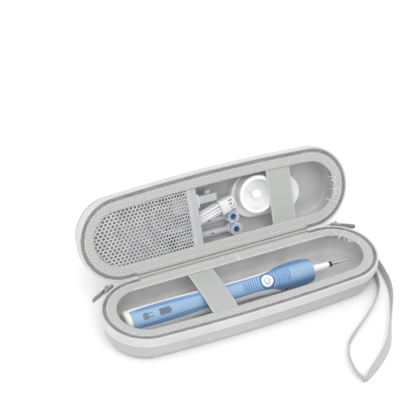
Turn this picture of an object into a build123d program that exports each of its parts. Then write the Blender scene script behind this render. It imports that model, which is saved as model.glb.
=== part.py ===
"""Zipped hard case for an electric toothbrush: two moulded halves joined by a fabric hinge,
with the toothbrush strapped in the base and its charger and brush heads kept in the lid.

Millimetres. +X runs along the case towards the brush's neck, +Y towards the hinge, +Z up.
The origin is on the table, under the middle of the base's zip line.
"""
from build123d import *
import os
from math import atan2, cos, hypot, radians, sin, tan

# ---- the case ----
CASE_LENGTH = 235.0          # zip line, end to end
CASE_WIDTH = 66.4            # zip line, hinge side to the start of the bowed front
FRONT_BOW = 2.5              # how far the middle of the front side stands out
HALF_DEPTH = 26.0            # zip line above the flat bottom of each half
WALL_DRAFT = 4.4             # degrees that the moulded walls lean in
BOTTOM_RADIUS = 7.0          # round edge of the moulded bottom
SHELL_INSET = 0.3            # shell's outer face inside the zip line
SHELL_WALL = 1.8
LINING = 0.8
RIM_DROP = 1.6               # shell rim below the zip line
BAND_PROUD = 1.6             # pale band, outside the zip line
BAND_HEIGHT = 8.5
BAND_GAP = 0.4               # band's upper edge below the zip line
TAPE = 0.8                   # woven zip tape
TAPE_REACH = 11.0            # tape's inner edge inside the zip line
TAPE_INSET = 0.45            # tape's sewn edge inside the zip line
COIL_INSET = 0.5             # coil's outer side inside the zip line
COIL_WIDTH = 2.4
COIL_GAP = 0.15              # coil's top below the zip line
HINGE_SHORT = 8.3            # hinge panel stops this far before each round end
HINGE_OUT = 0.8              # fold line outside the zip line
HINGE_CLEAR = 0.3            # room between each half and the fold line
PANEL_GAP = 0.9              # panel's sewn edge below the zip line
LID_OPEN = 115.8             # degrees between the closed lid and the lid at rest

# ---- straps and pocket ----
STRAP_WIDTH = 21.2
ELASTIC = 0.9
STRAP_TUCK = 2.6             # strap ends under the tape
BASE_STRAP_X = -27.6
BASE_STRAP_RISE = 1.4
LID_STRAP_X = 57.4
LID_STRAP_RISE = 0.3
POCKET_EDGE_X = -16.5        # open side of the mesh pocket
POCKET_BAND = 8.5
MESH = 0.7
FABRIC_GAP = 0.3             # soft pieces stay this far from their neighbours

# ---- wrist strap ----
RIBBON_WIDTH = 8.0
RIBBON = 1.0
LOOP_LENGTH = 25.5
LOOP_LOW = 8.2
LOOP_HEIGHT = 7.6
LOOP_WEB = 0.7
LOOP_SLOT = 1.5
RING_LENGTH = 7.0
RING_HEIGHT = 11.2
RING_WIRE = 1.2
CLASP_PLATE = 1.6
CLASP_WIDTH = 5.0
CLASP_EYE = 1.2
GRIP_LENGTH = 13.0
GRIP_WIDTH = 4.4
GRIP_AHEAD = 10.4
GRIP_THICK = 2.4
JAW_LENGTH = 6.0

# ---- zip sliders ----
SLIDER_ANGLE = 29.0          # place on the round end, from the hinge side
SLIDER_LENGTH = 9.0
SLIDER_LOW = 18.6
SLIDER_HIGH = 26.3
SLIDER_PLATE = 2.0
SLIDER_GAP = 0.3
PULL_LENGTH = 17.0
PULL_HEIGHT = 4.4
PULL = 1.0
PULL_EYE = 1.5
PIN_RADIUS = 0.7
PIN_CLEAR = 0.08

# ---- toothbrush ----
BRUSH_Y = 0.3
BRUSH_ROLL = 34.0            # the button side is rolled towards the front
TAIL_ROOM = 15.5             # from the zip line at the left end to the end cap's tip
HANDLE_SHOULDER = 60.7
TAIL_RADIUS = 10.35
WAIST_RADIUS = 8.6
HEAD_RADIUS = 10.7
SHOULDER_RADIUS = 9.0
HANDLE_WALL = 1.8
CAP_LENGTH = 4.4
GRIP_PROUD = 0.3
GRIP_SUNK = 0.9
GRIP_TAIL_HALF = 7.1
GRIP_WAIST_HALF = 6.1
GRIP_FLARE_X = 36.0
LIGHT_X = 33.4
LIGHT_WIDTH = 2.6
LIGHT_HALF = 9.0
BUTTON_X = 18.6
BUTTON_RADIUS = 5.0
BUTTON_PROUD = 0.6
BUTTON_THICK = 2.8
BUTTON_CLEAR = 0.12
BUTTON_TRAVEL = 0.8
BUTTON_RING = 1.5
PLUG_WINDOW_IN = 13.4        # windows in the grip, measured from the end cap's joint
CELL_WINDOW_IN = 27.0
WINDOW_LENGTH = 9.0
WINDOW_WIDTH = 5.4
NECK_TIP = 78.0
NECK_RADIUS = 2.7
NECK_CONE = 6.5
SHAFT_RADIUS = 1.5
SHAFT_TIP = 97.0
SHAFT_CLEAR = 0.08
SEAL_RADIUS = 2.2
SEAL_WIDTH = 1.6
CELL_RADIUS = 7.1
CELL_IN = 17.6               # from the end cap's joint to the cell
CELL_TO_BOARD = 3.0
MOTOR_RADIUS = 7.0
MOTOR_LENGTH = 30.0
MOTOR_START = 24.6
BOARD_LENGTH = 46.0
BOARD_HALF = 6.0
BOARD = 1.2
BOARD_START = -27.0
COIL_RADIUS = 8.1
FRAME_TOP = 1.3              # inner frame's upper side, under the circuit board
INNER_CLEAR = 0.12

# ---- charger, in the lid ----
CUP_X = 37.8
CUP_Y = 5.4
CUP_RADIUS = 16.0
CUP_RIM = 22.2
CUP_RECESS = 8.5
CUP_WALL = 3.2
POST_RADIUS = 4.0
POST_SHORT = 0.8
PLATE_LEFT_X = 37.0
PLATE_LEFT_Y = 2.8
PLATE_LEFT_RADIUS = 18.8
PLATE_RIGHT_X = 66.0
PLATE_RIGHT_Y = -2.2
PLATE_RIGHT_RADIUS = 15.5
PLATE_TOP = 11.0
CHARGER_WALL = 1.8
COVER = 1.2
CORD_DIAMETER = 2.2
RELIEF_LENGTH = 7.0
RELIEF_RADIUS = 2.4
RELIEF_Y = 1.3
HANK_LENGTH = 46.0
HANK_WIDTH = 12.0
HANK_HEIGHT = 9.2
HANK_X = -2.4
HANK_Y = -0.4
HANK_TURN = 14.0
TIE_WIDTH = 8.0
TIE = 0.6
TIE_X = 10.4
PLUG_LENGTH = 24.0
PLUG_WIDTH = 14.0
PLUG_HEIGHT = 17.0
PLUG_X = -37.0
PLUG_Y = 12.0
SLEEVE_LENGTH = 6.0
SLEEVE_RADIUS = 2.6
BLADE_LENGTH = 16.0
BLADE_WIDTH = 6.3
BLADE = 1.5
BLADE_PITCH = 12.7

# ---- brush heads, in the lid ----
HEAD_PLACES = [(15.7, -9.2), (17.0, -20.2)]
STEM_LENGTH = 50.0
STEM_FOOT_RADIUS = 4.4
STEM_NECK_RADIUS = 2.5
STEM_AXIS = 8.0
STEM_RING = 3.0
DISC_RADIUS = 5.2
DISC = 2.4
BRISTLES = 6.6
BRISTLE_INSET = 0.4
DISC_GAP = 0.1
HEAD_PIN_RADIUS = 1.0

# ---- places that follow ----
PIVOT_Y = CASE_WIDTH / 2 + HINGE_OUT
HALF_TRIM = PIVOT_Y - HINGE_CLEAR
RIM = HALF_DEPTH - RIM_DROP
FLOOR = SHELL_WALL + LINING
SEAT = FLOOR + FABRIC_GAP
END_CENTRE = CASE_LENGTH / 2 - CASE_WIDTH / 2
HINGE_LENGTH = 2 * (END_CENTRE - HINGE_SHORT)
LOOP_START_X = HINGE_LENGTH / 2
LOOP_END_X = LOOP_START_X + LOOP_LENGTH
BAND_LOW = HALF_DEPTH - BAND_HEIGHT
BRUSH_Z = SEAT + HEAD_RADIUS + GRIP_PROUD
HANDLE_TAIL = TAIL_ROOM + CAP_LENGTH - CASE_LENGTH / 2
PLUG_WINDOW_X = HANDLE_TAIL + PLUG_WINDOW_IN
CELL_WINDOW_X = HANDLE_TAIL + CELL_WINDOW_IN
CELL_START = HANDLE_TAIL + CELL_IN
CELL_END = BOARD_START - CELL_TO_BOARD
BASE, LID = 1, -1            # the side on which the hinge lies, seen in each half's own frame

brush_place = Pos(0, BRUSH_Y, BRUSH_Z) * Rot(BRUSH_ROLL, 0, 0)
lid_place = (
    Pos(0, PIVOT_Y, HALF_DEPTH) * Rot(180 - LID_OPEN, 0, 0) * Pos(0, PIVOT_Y, -HALF_DEPTH)
)


# ---- shapes shared by both halves ----
def plan(offset, hinge):
    """Outline of a half: round ends, a straight hinge side and a front that bows out."""
    radius = CASE_WIDTH / 2 + offset
    reach = (END_CENTRE**2 + FRONT_BOW**2) / (2 * FRONT_BOW)
    drop = reach - FRONT_BOW
    touch = (END_CENTRE + radius * END_CENTRE / reach, -radius * drop / reach)
    middle = (radians(90) + atan2(-drop, END_CENTRE)) / 2
    side = (END_CENTRE + radius * cos(middle), radius * sin(middle))
    corner = (END_CENTRE, radius)
    left = [(-x, y) for x, y in (corner, side, touch)]
    edges = [
        Line(left[0], corner),
        ThreePointArc(corner, side, touch),
        ThreePointArc(touch, (0, -radius - FRONT_BOW), left[2]),
        ThreePointArc(left[2], left[1], left[0]),
    ]
    face = make_face(Wire(edges))
    return face if hinge == BASE else Rot(0, 0, 180) * face


def slab(offset, low, high, hinge):
    return extrude(Pos(0, 0, low) * plan(offset, hinge), amount=high - low, dir=(0, 0, 1))


def tub(inset, floor, top, radius, hinge):
    """Solid with the moulded wall's lean and its rounded bottom edge."""
    lean = tan(radians(WALL_DRAFT))
    lower = Pos(0, 0, floor) * plan(-inset - lean * (HALF_DEPTH - floor), hinge)
    upper = Pos(0, 0, top) * plan(-inset - lean * (HALF_DEPTH - top), hinge)
    body = loft([lower, upper], ruled=True)
    return fillet(body.faces().sort_by(Axis.Z)[0].edges(), radius)


def shell_solid(hinge, top):
    return tub(SHELL_INSET, 0, top, BOTTOM_RADIUS, hinge)


def core_solid(hinge, top):
    return tub(SHELL_INSET + SHELL_WALL, SHELL_WALL, top, BOTTOM_RADIUS - SHELL_WALL, hinge)


def room_solid(hinge, top):
    return tub(SHELL_INSET + FLOOR, FLOOR, top, BOTTOM_RADIUS - FLOOR, hinge)


def hinge_zone(hinge):
    width = CASE_WIDTH
    return Pos(0, hinge * (width / 2), HALF_DEPTH / 2) * Box(HINGE_LENGTH, width, 2 * HALF_DEPTH)


def inside_fold(hinge):
    """All that lies on this half's side of the fold line."""
    depth = 2 * CASE_WIDTH
    size = Box(2 * CASE_LENGTH, depth, 4 * HALF_DEPTH)
    return Pos(0, hinge * (HALF_TRIM - depth / 2), 0) * size


def moulded_shell(hinge):
    return shell_solid(hinge, RIM) - core_solid(hinge, HALF_DEPTH)


def lining(hinge):
    return core_solid(hinge, RIM) - room_solid(hinge, HALF_DEPTH)


def rim_band(hinge):
    band = slab(BAND_PROUD, BAND_LOW, HALF_DEPTH - BAND_GAP, hinge)
    band = band - shell_solid(hinge, HALF_DEPTH) - hinge_zone(hinge)
    return band & inside_fold(hinge)


def zip_tape(hinge):
    outer = slab(-TAPE_INSET, RIM, RIM + TAPE, hinge)
    return outer - slab(-TAPE_REACH, 0, HALF_DEPTH, hinge)


def zip_coil(hinge):
    top = HALF_DEPTH - COIL_GAP
    ring = slab(-COIL_INSET, RIM + TAPE, top, hinge)
    ring = ring - slab(-COIL_INSET - COIL_WIDTH, 0, HALF_DEPTH, hinge)
    return ring - hinge_zone(hinge)


def hinge_panel(hinge):
    """Half of the hinge fabric, glued to the back wall in the band's place."""
    low, high = BAND_LOW, HALF_DEPTH - PANEL_GAP
    size = Box(HINGE_LENGTH, CASE_WIDTH / 2, high - low)
    panel = Pos(0, hinge * (HALF_TRIM - CASE_WIDTH / 4), (low + high) / 2) * size
    return panel - shell_solid(hinge, HALF_DEPTH)


def elastic_strap(x, rise, front, back):
    """Flat elastic, sewn under the tape on both sides and bowed over what it holds."""
    low = RIM - FABRIC_GAP - ELASTIC
    section = make_face(
        Wire(
            [
                ThreePointArc((front, low), ((front + back) / 2, low + rise), (back, low)),
                Line((back, low), (back, low + ELASTIC)),
                ThreePointArc(
                    (back, low + ELASTIC),
                    ((front + back) / 2, low + rise + ELASTIC),
                    (front, low + ELASTIC),
                ),
                Line((front, low + ELASTIC), (front, low)),
            ]
        )
    )
    upright = Plane(origin=(x - STRAP_WIDTH / 2, 0, 0), x_dir=(0, 1, 0), z_dir=(1, 0, 0))
    return extrude(upright * section, amount=STRAP_WIDTH)


# ---- the lid's pocket ----
def mesh_pocket():
    top = RIM - FABRIC_GAP
    net = slab(-TAPE_REACH + STRAP_TUCK, top - MESH, top, LID)
    edge = POCKET_EDGE_X - POCKET_BAND
    keep = Pos(edge - CASE_LENGTH / 2, 0, HALF_DEPTH / 2)
    return net & (keep * Box(CASE_LENGTH, 2 * CASE_WIDTH, HALF_DEPTH))


def pocket_edge():
    top = RIM - FABRIC_GAP
    reach = CASE_WIDTH / 2 - TAPE_REACH + STRAP_TUCK
    middle = Pos(POCKET_EDGE_X - POCKET_BAND / 2, 0, top - ELASTIC / 2)
    return middle * Box(POCKET_BAND, 2 * reach, ELASTIC)


# ---- wrist strap and its anchor ----
LOOP_MIDDLE_Y = PIVOT_Y - 0.15
RING_X = LOOP_END_X - LOOP_WEB - FABRIC_GAP + RING_LENGTH / 2 - RING_WIRE
RING_Z = LOOP_LOW + LOOP_HEIGHT / 2
RING_BAR_Z = RING_Z - RING_HEIGHT / 2 + RING_WIRE / 2
GRIP_END_X = RING_X + GRIP_AHEAD
STRAND_Y = 0.9               # each end of the ribbon lies this far from the clasp's middle
STRAP_LAY = [                # ribbon's middle line, from the middle of the clasp's grip end
    (0.0, -STRAND_Y),
    (2.4, -STRAND_Y),
    (4.4, -6.35),
    (5.6, -16.35),
    (5.6, -26.35),
    (4.7, -36.35),
    (3.2, -45.45),
    (2.0, -51.05),
    (-1.2, -59.85),
    (-5.5, -67.35),
    (-12.4, -74.95),
    (-21.5, -82.75),
    (-31.5, -89.95),
    (-41.4, -97.05),
    (-51.8, -104.25),
    (-58.1, -109.45),
    (-63.1, -116.85),
    (-66.3, -124.95),
    (-67.8, -133.55),
    (-68.5, -141.85),
    (-67.2, -148.05),
    (-63.2, -146.25),
    (-59.6, -143.95),
    (-50.8, -138.55),
    (-41.3, -132.05),
    (-31.8, -124.25),
    (-25.6, -117.15),
    (-19.2, -107.65),
    (-12.6, -97.95),
    (-6.0, -88.05),
    (-0.8, -79.85),
    (3.8, -71.25),
    (7.6, -60.85),
    (9.7, -50.95),
    (11.2, -40.25),
    (12.2, -29.85),
    (12.5, -19.35),
    (11.2, -9.35),
    (7.6, -2.25),
    (3.0, STRAND_Y),
    (0.0, STRAND_Y),
]
STRAP_ROUTE = [(GRIP_END_X + ahead, LOOP_MIDDLE_Y + across) for ahead, across in STRAP_LAY]


def strap_loop():
    """Folded webbing under the end of the hinge panel; the ring hangs in its fold."""
    half = LOOP_SLOT / 2 + LOOP_WEB
    length = LOOP_END_X - LOOP_START_X
    middle = Pos((LOOP_START_X + LOOP_END_X) / 2, LOOP_MIDDLE_Y, LOOP_LOW)
    outer = extrude(middle * RectangleRounded(length, 2 * half, half * 0.96), amount=LOOP_HEIGHT)
    slot = RectangleRounded(length - 2 * LOOP_WEB, LOOP_SLOT, LOOP_SLOT * 0.48)
    return outer - extrude(middle * slot, amount=LOOP_HEIGHT)


def strap_ring():
    """Flat wire link: one upright in the loop's fold, the lower bar in the clasp's eye."""
    upright = Plane(
        origin=(RING_X, LOOP_MIDDLE_Y + RING_WIRE / 2, RING_Z), x_dir=(1, 0, 0), z_dir=(0, -1, 0)
    )
    outer = RectangleRounded(RING_LENGTH, RING_HEIGHT, RING_WIRE)
    inner = Rectangle(RING_LENGTH - 2 * RING_WIRE, RING_HEIGHT - 2 * RING_WIRE)
    return extrude(upright * (outer - inner), amount=RING_WIRE)


def strap_clasp():
    """Metal clasp: an eye round the ring, and a jaw that grips both ends of the ribbon."""
    top = RING_BAR_Z + 2 * CLASP_EYE
    plate = Pos(RING_X, LOOP_MIDDLE_Y, top / 2) * Box(CLASP_PLATE, CLASP_WIDTH, top)
    eye = Pos(RING_X, LOOP_MIDDLE_Y, RING_BAR_Z) * Rot(0, 90, 0)
    plate = plate - eye * Cylinder(CLASP_EYE, 2 * CLASP_PLATE)
    foot = Pos(GRIP_END_X - GRIP_LENGTH / 2, LOOP_MIDDLE_Y, GRIP_THICK / 2)
    foot = foot * Box(GRIP_LENGTH, GRIP_WIDTH, GRIP_THICK)
    jaw_height = RIBBON_WIDTH + FABRIC_GAP
    jaw = Pos(GRIP_END_X - JAW_LENGTH / 2, LOOP_MIDDLE_Y, jaw_height / 2)
    return plate + foot + jaw * Box(JAW_LENGTH, GRIP_WIDTH, jaw_height)


def bend_radii(points):
    """Largest even bend at each inner point of a route."""
    radii = []
    for before, here, after in zip(points, points[1:], points[2:]):
        run_in = Vector(*here) - Vector(*before)
        run_out = Vector(*after) - Vector(*here)
        turn = radians(run_in.get_angle(run_out))
        radii.append(0.45 * min(run_in.length, run_out.length) / tan(turn / 2))
    return radii


def wrist_strap():
    radii = bend_radii(STRAP_ROUTE)
    print("wrist strap bends, mm:", [round(r, 1) for r in radii])
    path = Pos(0, 0, RIBBON_WIDTH / 2) * FilletPolyline(*STRAP_ROUTE, radius=radii)
    start = Plane(origin=path @ 0, z_dir=path % 0, x_dir=(path % 0).cross(Vector(0, 0, 1)))
    section = start * Rectangle(RIBBON, RIBBON_WIDTH)
    ribbon = sweep(section, path=path)
    print("wrist strap length", round(path.length, 1), "volume", round(ribbon.volume, 1))
    return ribbon


# ---- zip sliders ----
def on_round_end(side, along, out, z):
    """Place on the round end of the base: side -1 or 1, along the zip, out from the zip line."""
    angle = radians(90 - SLIDER_ANGLE)
    radius = CASE_WIDTH / 2 + out
    centre = Pos(side * (END_CENTRE + radius * cos(angle)), radius * sin(angle), z)
    return centre * Rot(0, 0, -side * SLIDER_ANGLE) * Pos(side * along, 0, 0)


PIN_OUT = BAND_PROUD + SLIDER_GAP + SLIDER_PLATE + PULL_EYE + FABRIC_GAP
PULL_Z = (SLIDER_LOW + SLIDER_HIGH) / 2


def zip_slider(side):
    """Slider body on the band's end, with the bridge pin on which the pull turns."""
    out = BAND_PROUD + SLIDER_GAP + SLIDER_PLATE / 2
    body = Box(SLIDER_LENGTH, SLIDER_PLATE, SLIDER_HIGH - SLIDER_LOW)
    body = fillet(body.edges().filter_by(Axis.Y), SLIDER_PLATE / 2)
    body = on_round_end(side, 0, out, PULL_Z) * body
    lug_out = (PIN_OUT + PIN_RADIUS + BAND_PROUD + SLIDER_GAP + SLIDER_PLATE) / 2
    lug_deep = PIN_OUT + PIN_RADIUS - BAND_PROUD - SLIDER_GAP - SLIDER_PLATE
    lug = Box(2 * PIN_RADIUS, lug_deep, PIN_RADIUS * 1.6)
    for z in (SLIDER_LOW, SLIDER_HIGH):
        toward = PIN_RADIUS * 0.8 if z == SLIDER_LOW else -PIN_RADIUS * 0.8
        body = body + on_round_end(side, 0, lug_out, z + toward) * lug
    pin = Cylinder(PIN_RADIUS, SLIDER_HIGH - SLIDER_LOW)
    foot = Box(SLIDER_LENGTH / 2, SLIDER_GAP + 0.6, PULL_HEIGHT)
    foot = on_round_end(side, 0, BAND_PROUD + SLIDER_GAP / 2, PULL_Z - 1.2) * foot
    body = body + on_round_end(side, 0, PIN_OUT, PULL_Z) * pin
    return body + (foot - slab(BAND_PROUD, 0, HALF_DEPTH, BASE))


def zip_pull(side):
    """Flat pull tab with its eye round the bridge pin, lying along the zip."""
    eye = Cylinder(PULL_EYE, PULL_HEIGHT)
    tab = Pos(side * PULL_LENGTH / 2, 0, 0) * Box(PULL_LENGTH, PULL, PULL_HEIGHT)
    tab = fillet(tab.edges().filter_by(Axis.Y), PULL_HEIGHT * 0.4)
    pull = eye + tab - Cylinder(PIN_RADIUS + PIN_CLEAR, 2 * PULL_HEIGHT)
    return on_round_end(side, 0, PIN_OUT, PULL_Z) * pull


# ---- toothbrush, built along X with its button upwards ----
def handle_radius_points(offset):
    span = HANDLE_SHOULDER - HANDLE_TAIL
    return [
        (HANDLE_TAIL, TAIL_RADIUS + offset),
        (HANDLE_TAIL + 0.2 * span, TAIL_RADIUS + offset),
        (HANDLE_TAIL + 0.42 * span, (TAIL_RADIUS + WAIST_RADIUS) / 2 + offset),
        (HANDLE_TAIL + 0.62 * span, WAIST_RADIUS + offset),
        (HANDLE_TAIL + 0.82 * span, (HEAD_RADIUS + WAIST_RADIUS) / 2 + 0.25 + offset),
        (HANDLE_TAIL + 0.94 * span, HEAD_RADIUS + offset),
        (HANDLE_SHOULDER, SHOULDER_RADIUS + offset),
    ]


def turned(points):
    """Solid turned about X from a list of (x, radius), joined by a spline."""
    first, last = points[0][0], points[-1][0]
    edges = [
        Spline(*points),
        Line(points[-1], (last, 0)),
        Line((last, 0), (first, 0)),
        Line((first, 0), points[0]),
    ]
    return revolve(make_face(Wire(edges)), axis=Axis.X)


def handle_solid(offset):
    return turned(handle_radius_points(offset))


def upright_prism(face, low=0.0):
    return extrude(Pos(0, 0, low) * face, amount=2 * HEAD_RADIUS, dir=(0, 0, 1))


def grip_zone():
    """Plan of the soft grip: narrow along the handle, wrapped round its head end."""
    wide = HEAD_RADIUS + 1.5
    upper = [
        (HANDLE_TAIL, GRIP_TAIL_HALF),
        (BASE_STRAP_X, (GRIP_TAIL_HALF + GRIP_WAIST_HALF) / 2),
        (0, GRIP_WAIST_HALF),
        (BUTTON_X, GRIP_WAIST_HALF + 0.6),
        (GRIP_FLARE_X, wide),
    ]
    lower = [(x, -y) for x, y in reversed(upper)]
    far_upper, far_lower = (HANDLE_SHOULDER, wide), (HANDLE_SHOULDER, -wide)
    edges = [
        Spline(*upper),
        Line(upper[-1], far_upper),
        Line(far_upper, far_lower),
        Line(far_lower, lower[0]),
        Spline(*lower),
        Line(lower[-1], upper[0]),
    ]
    return upright_prism(make_face(Wire(edges)))


def light_zone():
    """The pressure light's two sides, where it comes out from under the grip."""
    ring = Pos(LIGHT_X + LIGHT_WIDTH / 2, 0, 0) * Box(LIGHT_WIDTH, 4 * HEAD_RADIUS, 4 * HEAD_RADIUS)
    return ring - Box(4 * LIGHT_X, 2 * LIGHT_HALF, 4 * HEAD_RADIUS)


def button_hole(radius):
    return Pos(BUTTON_X, 0, HEAD_RADIUS) * Cylinder(radius, 2 * HEAD_RADIUS)


def window_zone():
    """Plug-shaped and battery-shaped indicator windows."""
    half = WINDOW_LENGTH / 2
    plug = Pos(PLUG_WINDOW_X - half / 2, 0) * RectangleRounded(half, WINDOW_WIDTH, 1.6)
    for y in (-WINDOW_WIDTH / 4, WINDOW_WIDTH / 4):
        plug = plug + Pos(PLUG_WINDOW_X + half / 3, y) * Rectangle(half, 0.9)
    cell = Pos(CELL_WINDOW_X, 0) * RectangleRounded(WINDOW_LENGTH, WINDOW_WIDTH, 0.6)
    nub = Pos(CELL_WINDOW_X + half + 0.3, 0) * Rectangle(1.4, WINDOW_WIDTH / 2)
    return [upright_prism(plug), upright_prism(cell + nub)]


def cavity_solid():
    inner = handle_solid(-HANDLE_WALL)
    size = Box(HANDLE_SHOULDER - HANDLE_TAIL - 2 * HANDLE_WALL, 4 * HEAD_RADIUS, 4 * HEAD_RADIUS)
    return inner & (Pos((HANDLE_SHOULDER + HANDLE_TAIL) / 2, 0, 0) * size)


def handle_shell():
    shell = handle_solid(0) - cavity_solid()
    shell = shell - (grip_zone() - handle_solid(-GRIP_SUNK))
    shell = shell - (light_zone() - handle_solid(-GRIP_SUNK))
    shell = shell - button_hole(BUTTON_RADIUS + BUTTON_CLEAR)
    bore = Rot(0, 90, 0) * Cylinder(SHAFT_RADIUS + SHAFT_CLEAR, 4 * HANDLE_WALL)
    return shell - Pos(HANDLE_SHOULDER, 0, 0) * bore


def handle_grip():
    grip = (handle_solid(GRIP_PROUD) - handle_solid(-GRIP_SUNK)) & grip_zone()
    grip = grip - light_zone() - button_hole(BUTTON_RADIUS + BUTTON_RING)
    for zone in window_zone():
        grip = grip - zone
    return grip


def indicator_windows():
    skin = handle_solid(GRIP_PROUD) - handle_solid(-GRIP_SUNK)
    return [skin & zone for zone in window_zone()]


def pressure_light():
    return (handle_solid(GRIP_PROUD / 2) - handle_solid(-GRIP_SUNK)) & light_zone()


def button_ring():
    ring = (handle_solid(GRIP_PROUD + 0.1) - handle_solid(-GRIP_SUNK))
    ring = ring & button_hole(BUTTON_RADIUS + BUTTON_RING)
    return ring - button_hole(BUTTON_RADIUS + BUTTON_CLEAR)


def power_button():
    cap = handle_solid(BUTTON_PROUD) - handle_solid(BUTTON_PROUD - BUTTON_THICK)
    return cap & button_hole(BUTTON_RADIUS)


def end_cap():
    tail = HANDLE_TAIL - CAP_LENGTH
    face = make_face(
        Polyline(
            (HANDLE_TAIL, 0),
            (HANDLE_TAIL, TAIL_RADIUS),
            (tail, TAIL_RADIUS - 0.6),
            (tail, 0),
            (HANDLE_TAIL, 0),
        )
    )
    cap = revolve(face, axis=Axis.X)
    return fillet(cap.faces().sort_by(Axis.X)[0].edges(), CAP_LENGTH * 0.6)


def neck_collar():
    """White cone and tube that carry a brush head."""
    cone_end = HANDLE_SHOULDER + NECK_CONE
    face = make_face(
        Wire(
            [
                Line((HANDLE_SHOULDER, 0), (HANDLE_SHOULDER, SHOULDER_RADIUS - 0.6)),
                ThreePointArc(
                    (HANDLE_SHOULDER, SHOULDER_RADIUS - 0.6),
                    (HANDLE_SHOULDER + NECK_CONE * 0.35, NECK_RADIUS + 1.9),
                    (cone_end, NECK_RADIUS + 0.5),
                ),
                Line((cone_end, NECK_RADIUS + 0.5), (NECK_TIP, NECK_RADIUS)),
                Line((NECK_TIP, NECK_RADIUS), (NECK_TIP, 0)),
                Line((NECK_TIP, 0), (HANDLE_SHOULDER, 0)),
            ]
        )
    )
    collar = revolve(face, axis=Axis.X)
    bore = Rot(0, 90, 0) * Cylinder(SHAFT_RADIUS + SHAFT_CLEAR, 2 * NECK_TIP)
    return collar - Pos(NECK_TIP, 0, 0) * bore


def round_bar(radius, start, end):
    return Pos((start + end) / 2, 0, 0) * Rot(0, 90, 0) * Cylinder(radius, end - start)


MOTOR_END = MOTOR_START + MOTOR_LENGTH


def drive_shaft():
    """Steel shaft from the motor, with a flat and a thinner tip for the brush head."""
    step = (NECK_TIP + SHAFT_TIP) / 2
    shaft = round_bar(SHAFT_RADIUS, MOTOR_END + FABRIC_GAP, step)
    tip = round_bar(SHAFT_RADIUS * 0.8, step, SHAFT_TIP)
    flat = Box(SHAFT_TIP - step, SHAFT_RADIUS, SHAFT_RADIUS)
    return shaft + (tip - Pos((step + SHAFT_TIP) / 2, 0, SHAFT_RADIUS) * flat)


def shaft_seal():
    start = NECK_TIP + 1.4
    ring = round_bar(SEAL_RADIUS, start, start + SEAL_WIDTH)
    return ring - round_bar(SHAFT_RADIUS, start, start + SEAL_WIDTH)


def circuit_board():
    middle = BOARD_START + BOARD_LENGTH / 2
    return Pos(middle, 0, BOARD_HALF / 3) * Box(BOARD_LENGTH, 2 * BOARD_HALF, BOARD)


def inner_frame():
    """Cradle that carries the cell, the motor and the board inside the handle."""
    start, end = CELL_START - HANDLE_WALL, MOTOR_END
    tall = 2 * HEAD_RADIUS
    keep = Pos((start + end) / 2, 0, FRAME_TOP - tall / 2) * Box(end - start, 2 * tall, tall)
    frame = handle_solid(-HANDLE_WALL - INNER_CLEAR) & keep
    frame = frame - round_bar(CELL_RADIUS + INNER_CLEAR, CELL_START - INNER_CLEAR, CELL_END)
    return frame - round_bar(MOTOR_RADIUS + INNER_CLEAR, MOTOR_START - INNER_CLEAR, MOTOR_END)


def charging_coil():
    start = HANDLE_TAIL + 3 * HANDLE_WALL
    wound = round_bar(COIL_RADIUS, start, start + COIL_RADIUS)
    return wound - round_bar(COIL_RADIUS * 0.6, start, start + COIL_RADIUS)


def motor():
    return round_bar(MOTOR_RADIUS, MOTOR_START, MOTOR_END)


# ---- charger and its cord, in the lid's own frame ----
def charger_plan(offset):
    left = Pos(PLATE_LEFT_X, PLATE_LEFT_Y) * Circle(PLATE_LEFT_RADIUS + offset)
    right = Pos(PLATE_RIGHT_X, PLATE_RIGHT_Y) * Circle(PLATE_RIGHT_RADIUS + offset)
    return make_hull(left.edges() + right.edges())


def charger_body():
    """Moulded housing: a low egg-shaped base with a round cup for the handle on top."""
    base = extrude(Pos(0, 0, SEAT + COVER) * charger_plan(0), amount=PLATE_TOP - SEAT - COVER)
    base = fillet(base.faces().sort_by(Axis.Z)[-1].edges(), CHARGER_WALL)
    cup = Pos(CUP_X, CUP_Y, (CUP_RIM + PLATE_TOP) / 2 - 1)
    cup = cup * Cylinder(CUP_RADIUS, CUP_RIM - PLATE_TOP + 2)
    cup = fillet(cup.edges().sort_by(Axis.Z)[-1], 1.2)
    body = base + cup
    room = PLATE_TOP - CHARGER_WALL - SEAT - COVER
    body = body - extrude(
        Pos(0, 0, SEAT + COVER) * charger_plan(-CHARGER_WALL), amount=room
    )
    recess = Pos(CUP_X, CUP_Y, CUP_RIM - CUP_RECESS / 2)
    return body - recess * Cylinder(CUP_RADIUS - CUP_WALL, CUP_RECESS)


def charger_post():
    height = CUP_RECESS - POST_SHORT
    post = Cylinder(POST_RADIUS, height)
    post = fillet(post.edges().sort_by(Axis.Z)[-1], POST_RADIUS * 0.35)
    return Pos(CUP_X, CUP_Y, CUP_RIM - CUP_RECESS + height / 2) * post


def charger_cover():
    return extrude(Pos(0, 0, SEAT) * charger_plan(0), amount=COVER)


def charger_coil():
    tall = (PLATE_TOP - CHARGER_WALL - SEAT - COVER) * 0.8
    ring = Cylinder(POST_RADIUS * 2.2, tall) - Cylinder(POST_RADIUS, tall)
    return Pos(CUP_X, CUP_Y, SEAT + COVER + tall / 2) * ring


RELIEF_Z = (SEAT + COVER + PLATE_TOP) / 2
RELIEF_TIP_X = PLATE_LEFT_X - PLATE_LEFT_RADIUS - RELIEF_LENGTH


def cord_relief():
    """Tapered sleeve where the cord leaves the charger."""
    length = RELIEF_LENGTH + PLATE_LEFT_RADIUS / 2
    cone = Cone(RELIEF_RADIUS * 0.65, RELIEF_RADIUS, length)
    sleeve = Pos(RELIEF_TIP_X + length / 2, RELIEF_Y, RELIEF_Z) * Rot(0, 90, 0) * cone
    return sleeve - extrude(charger_plan(0), amount=HALF_DEPTH)


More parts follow.
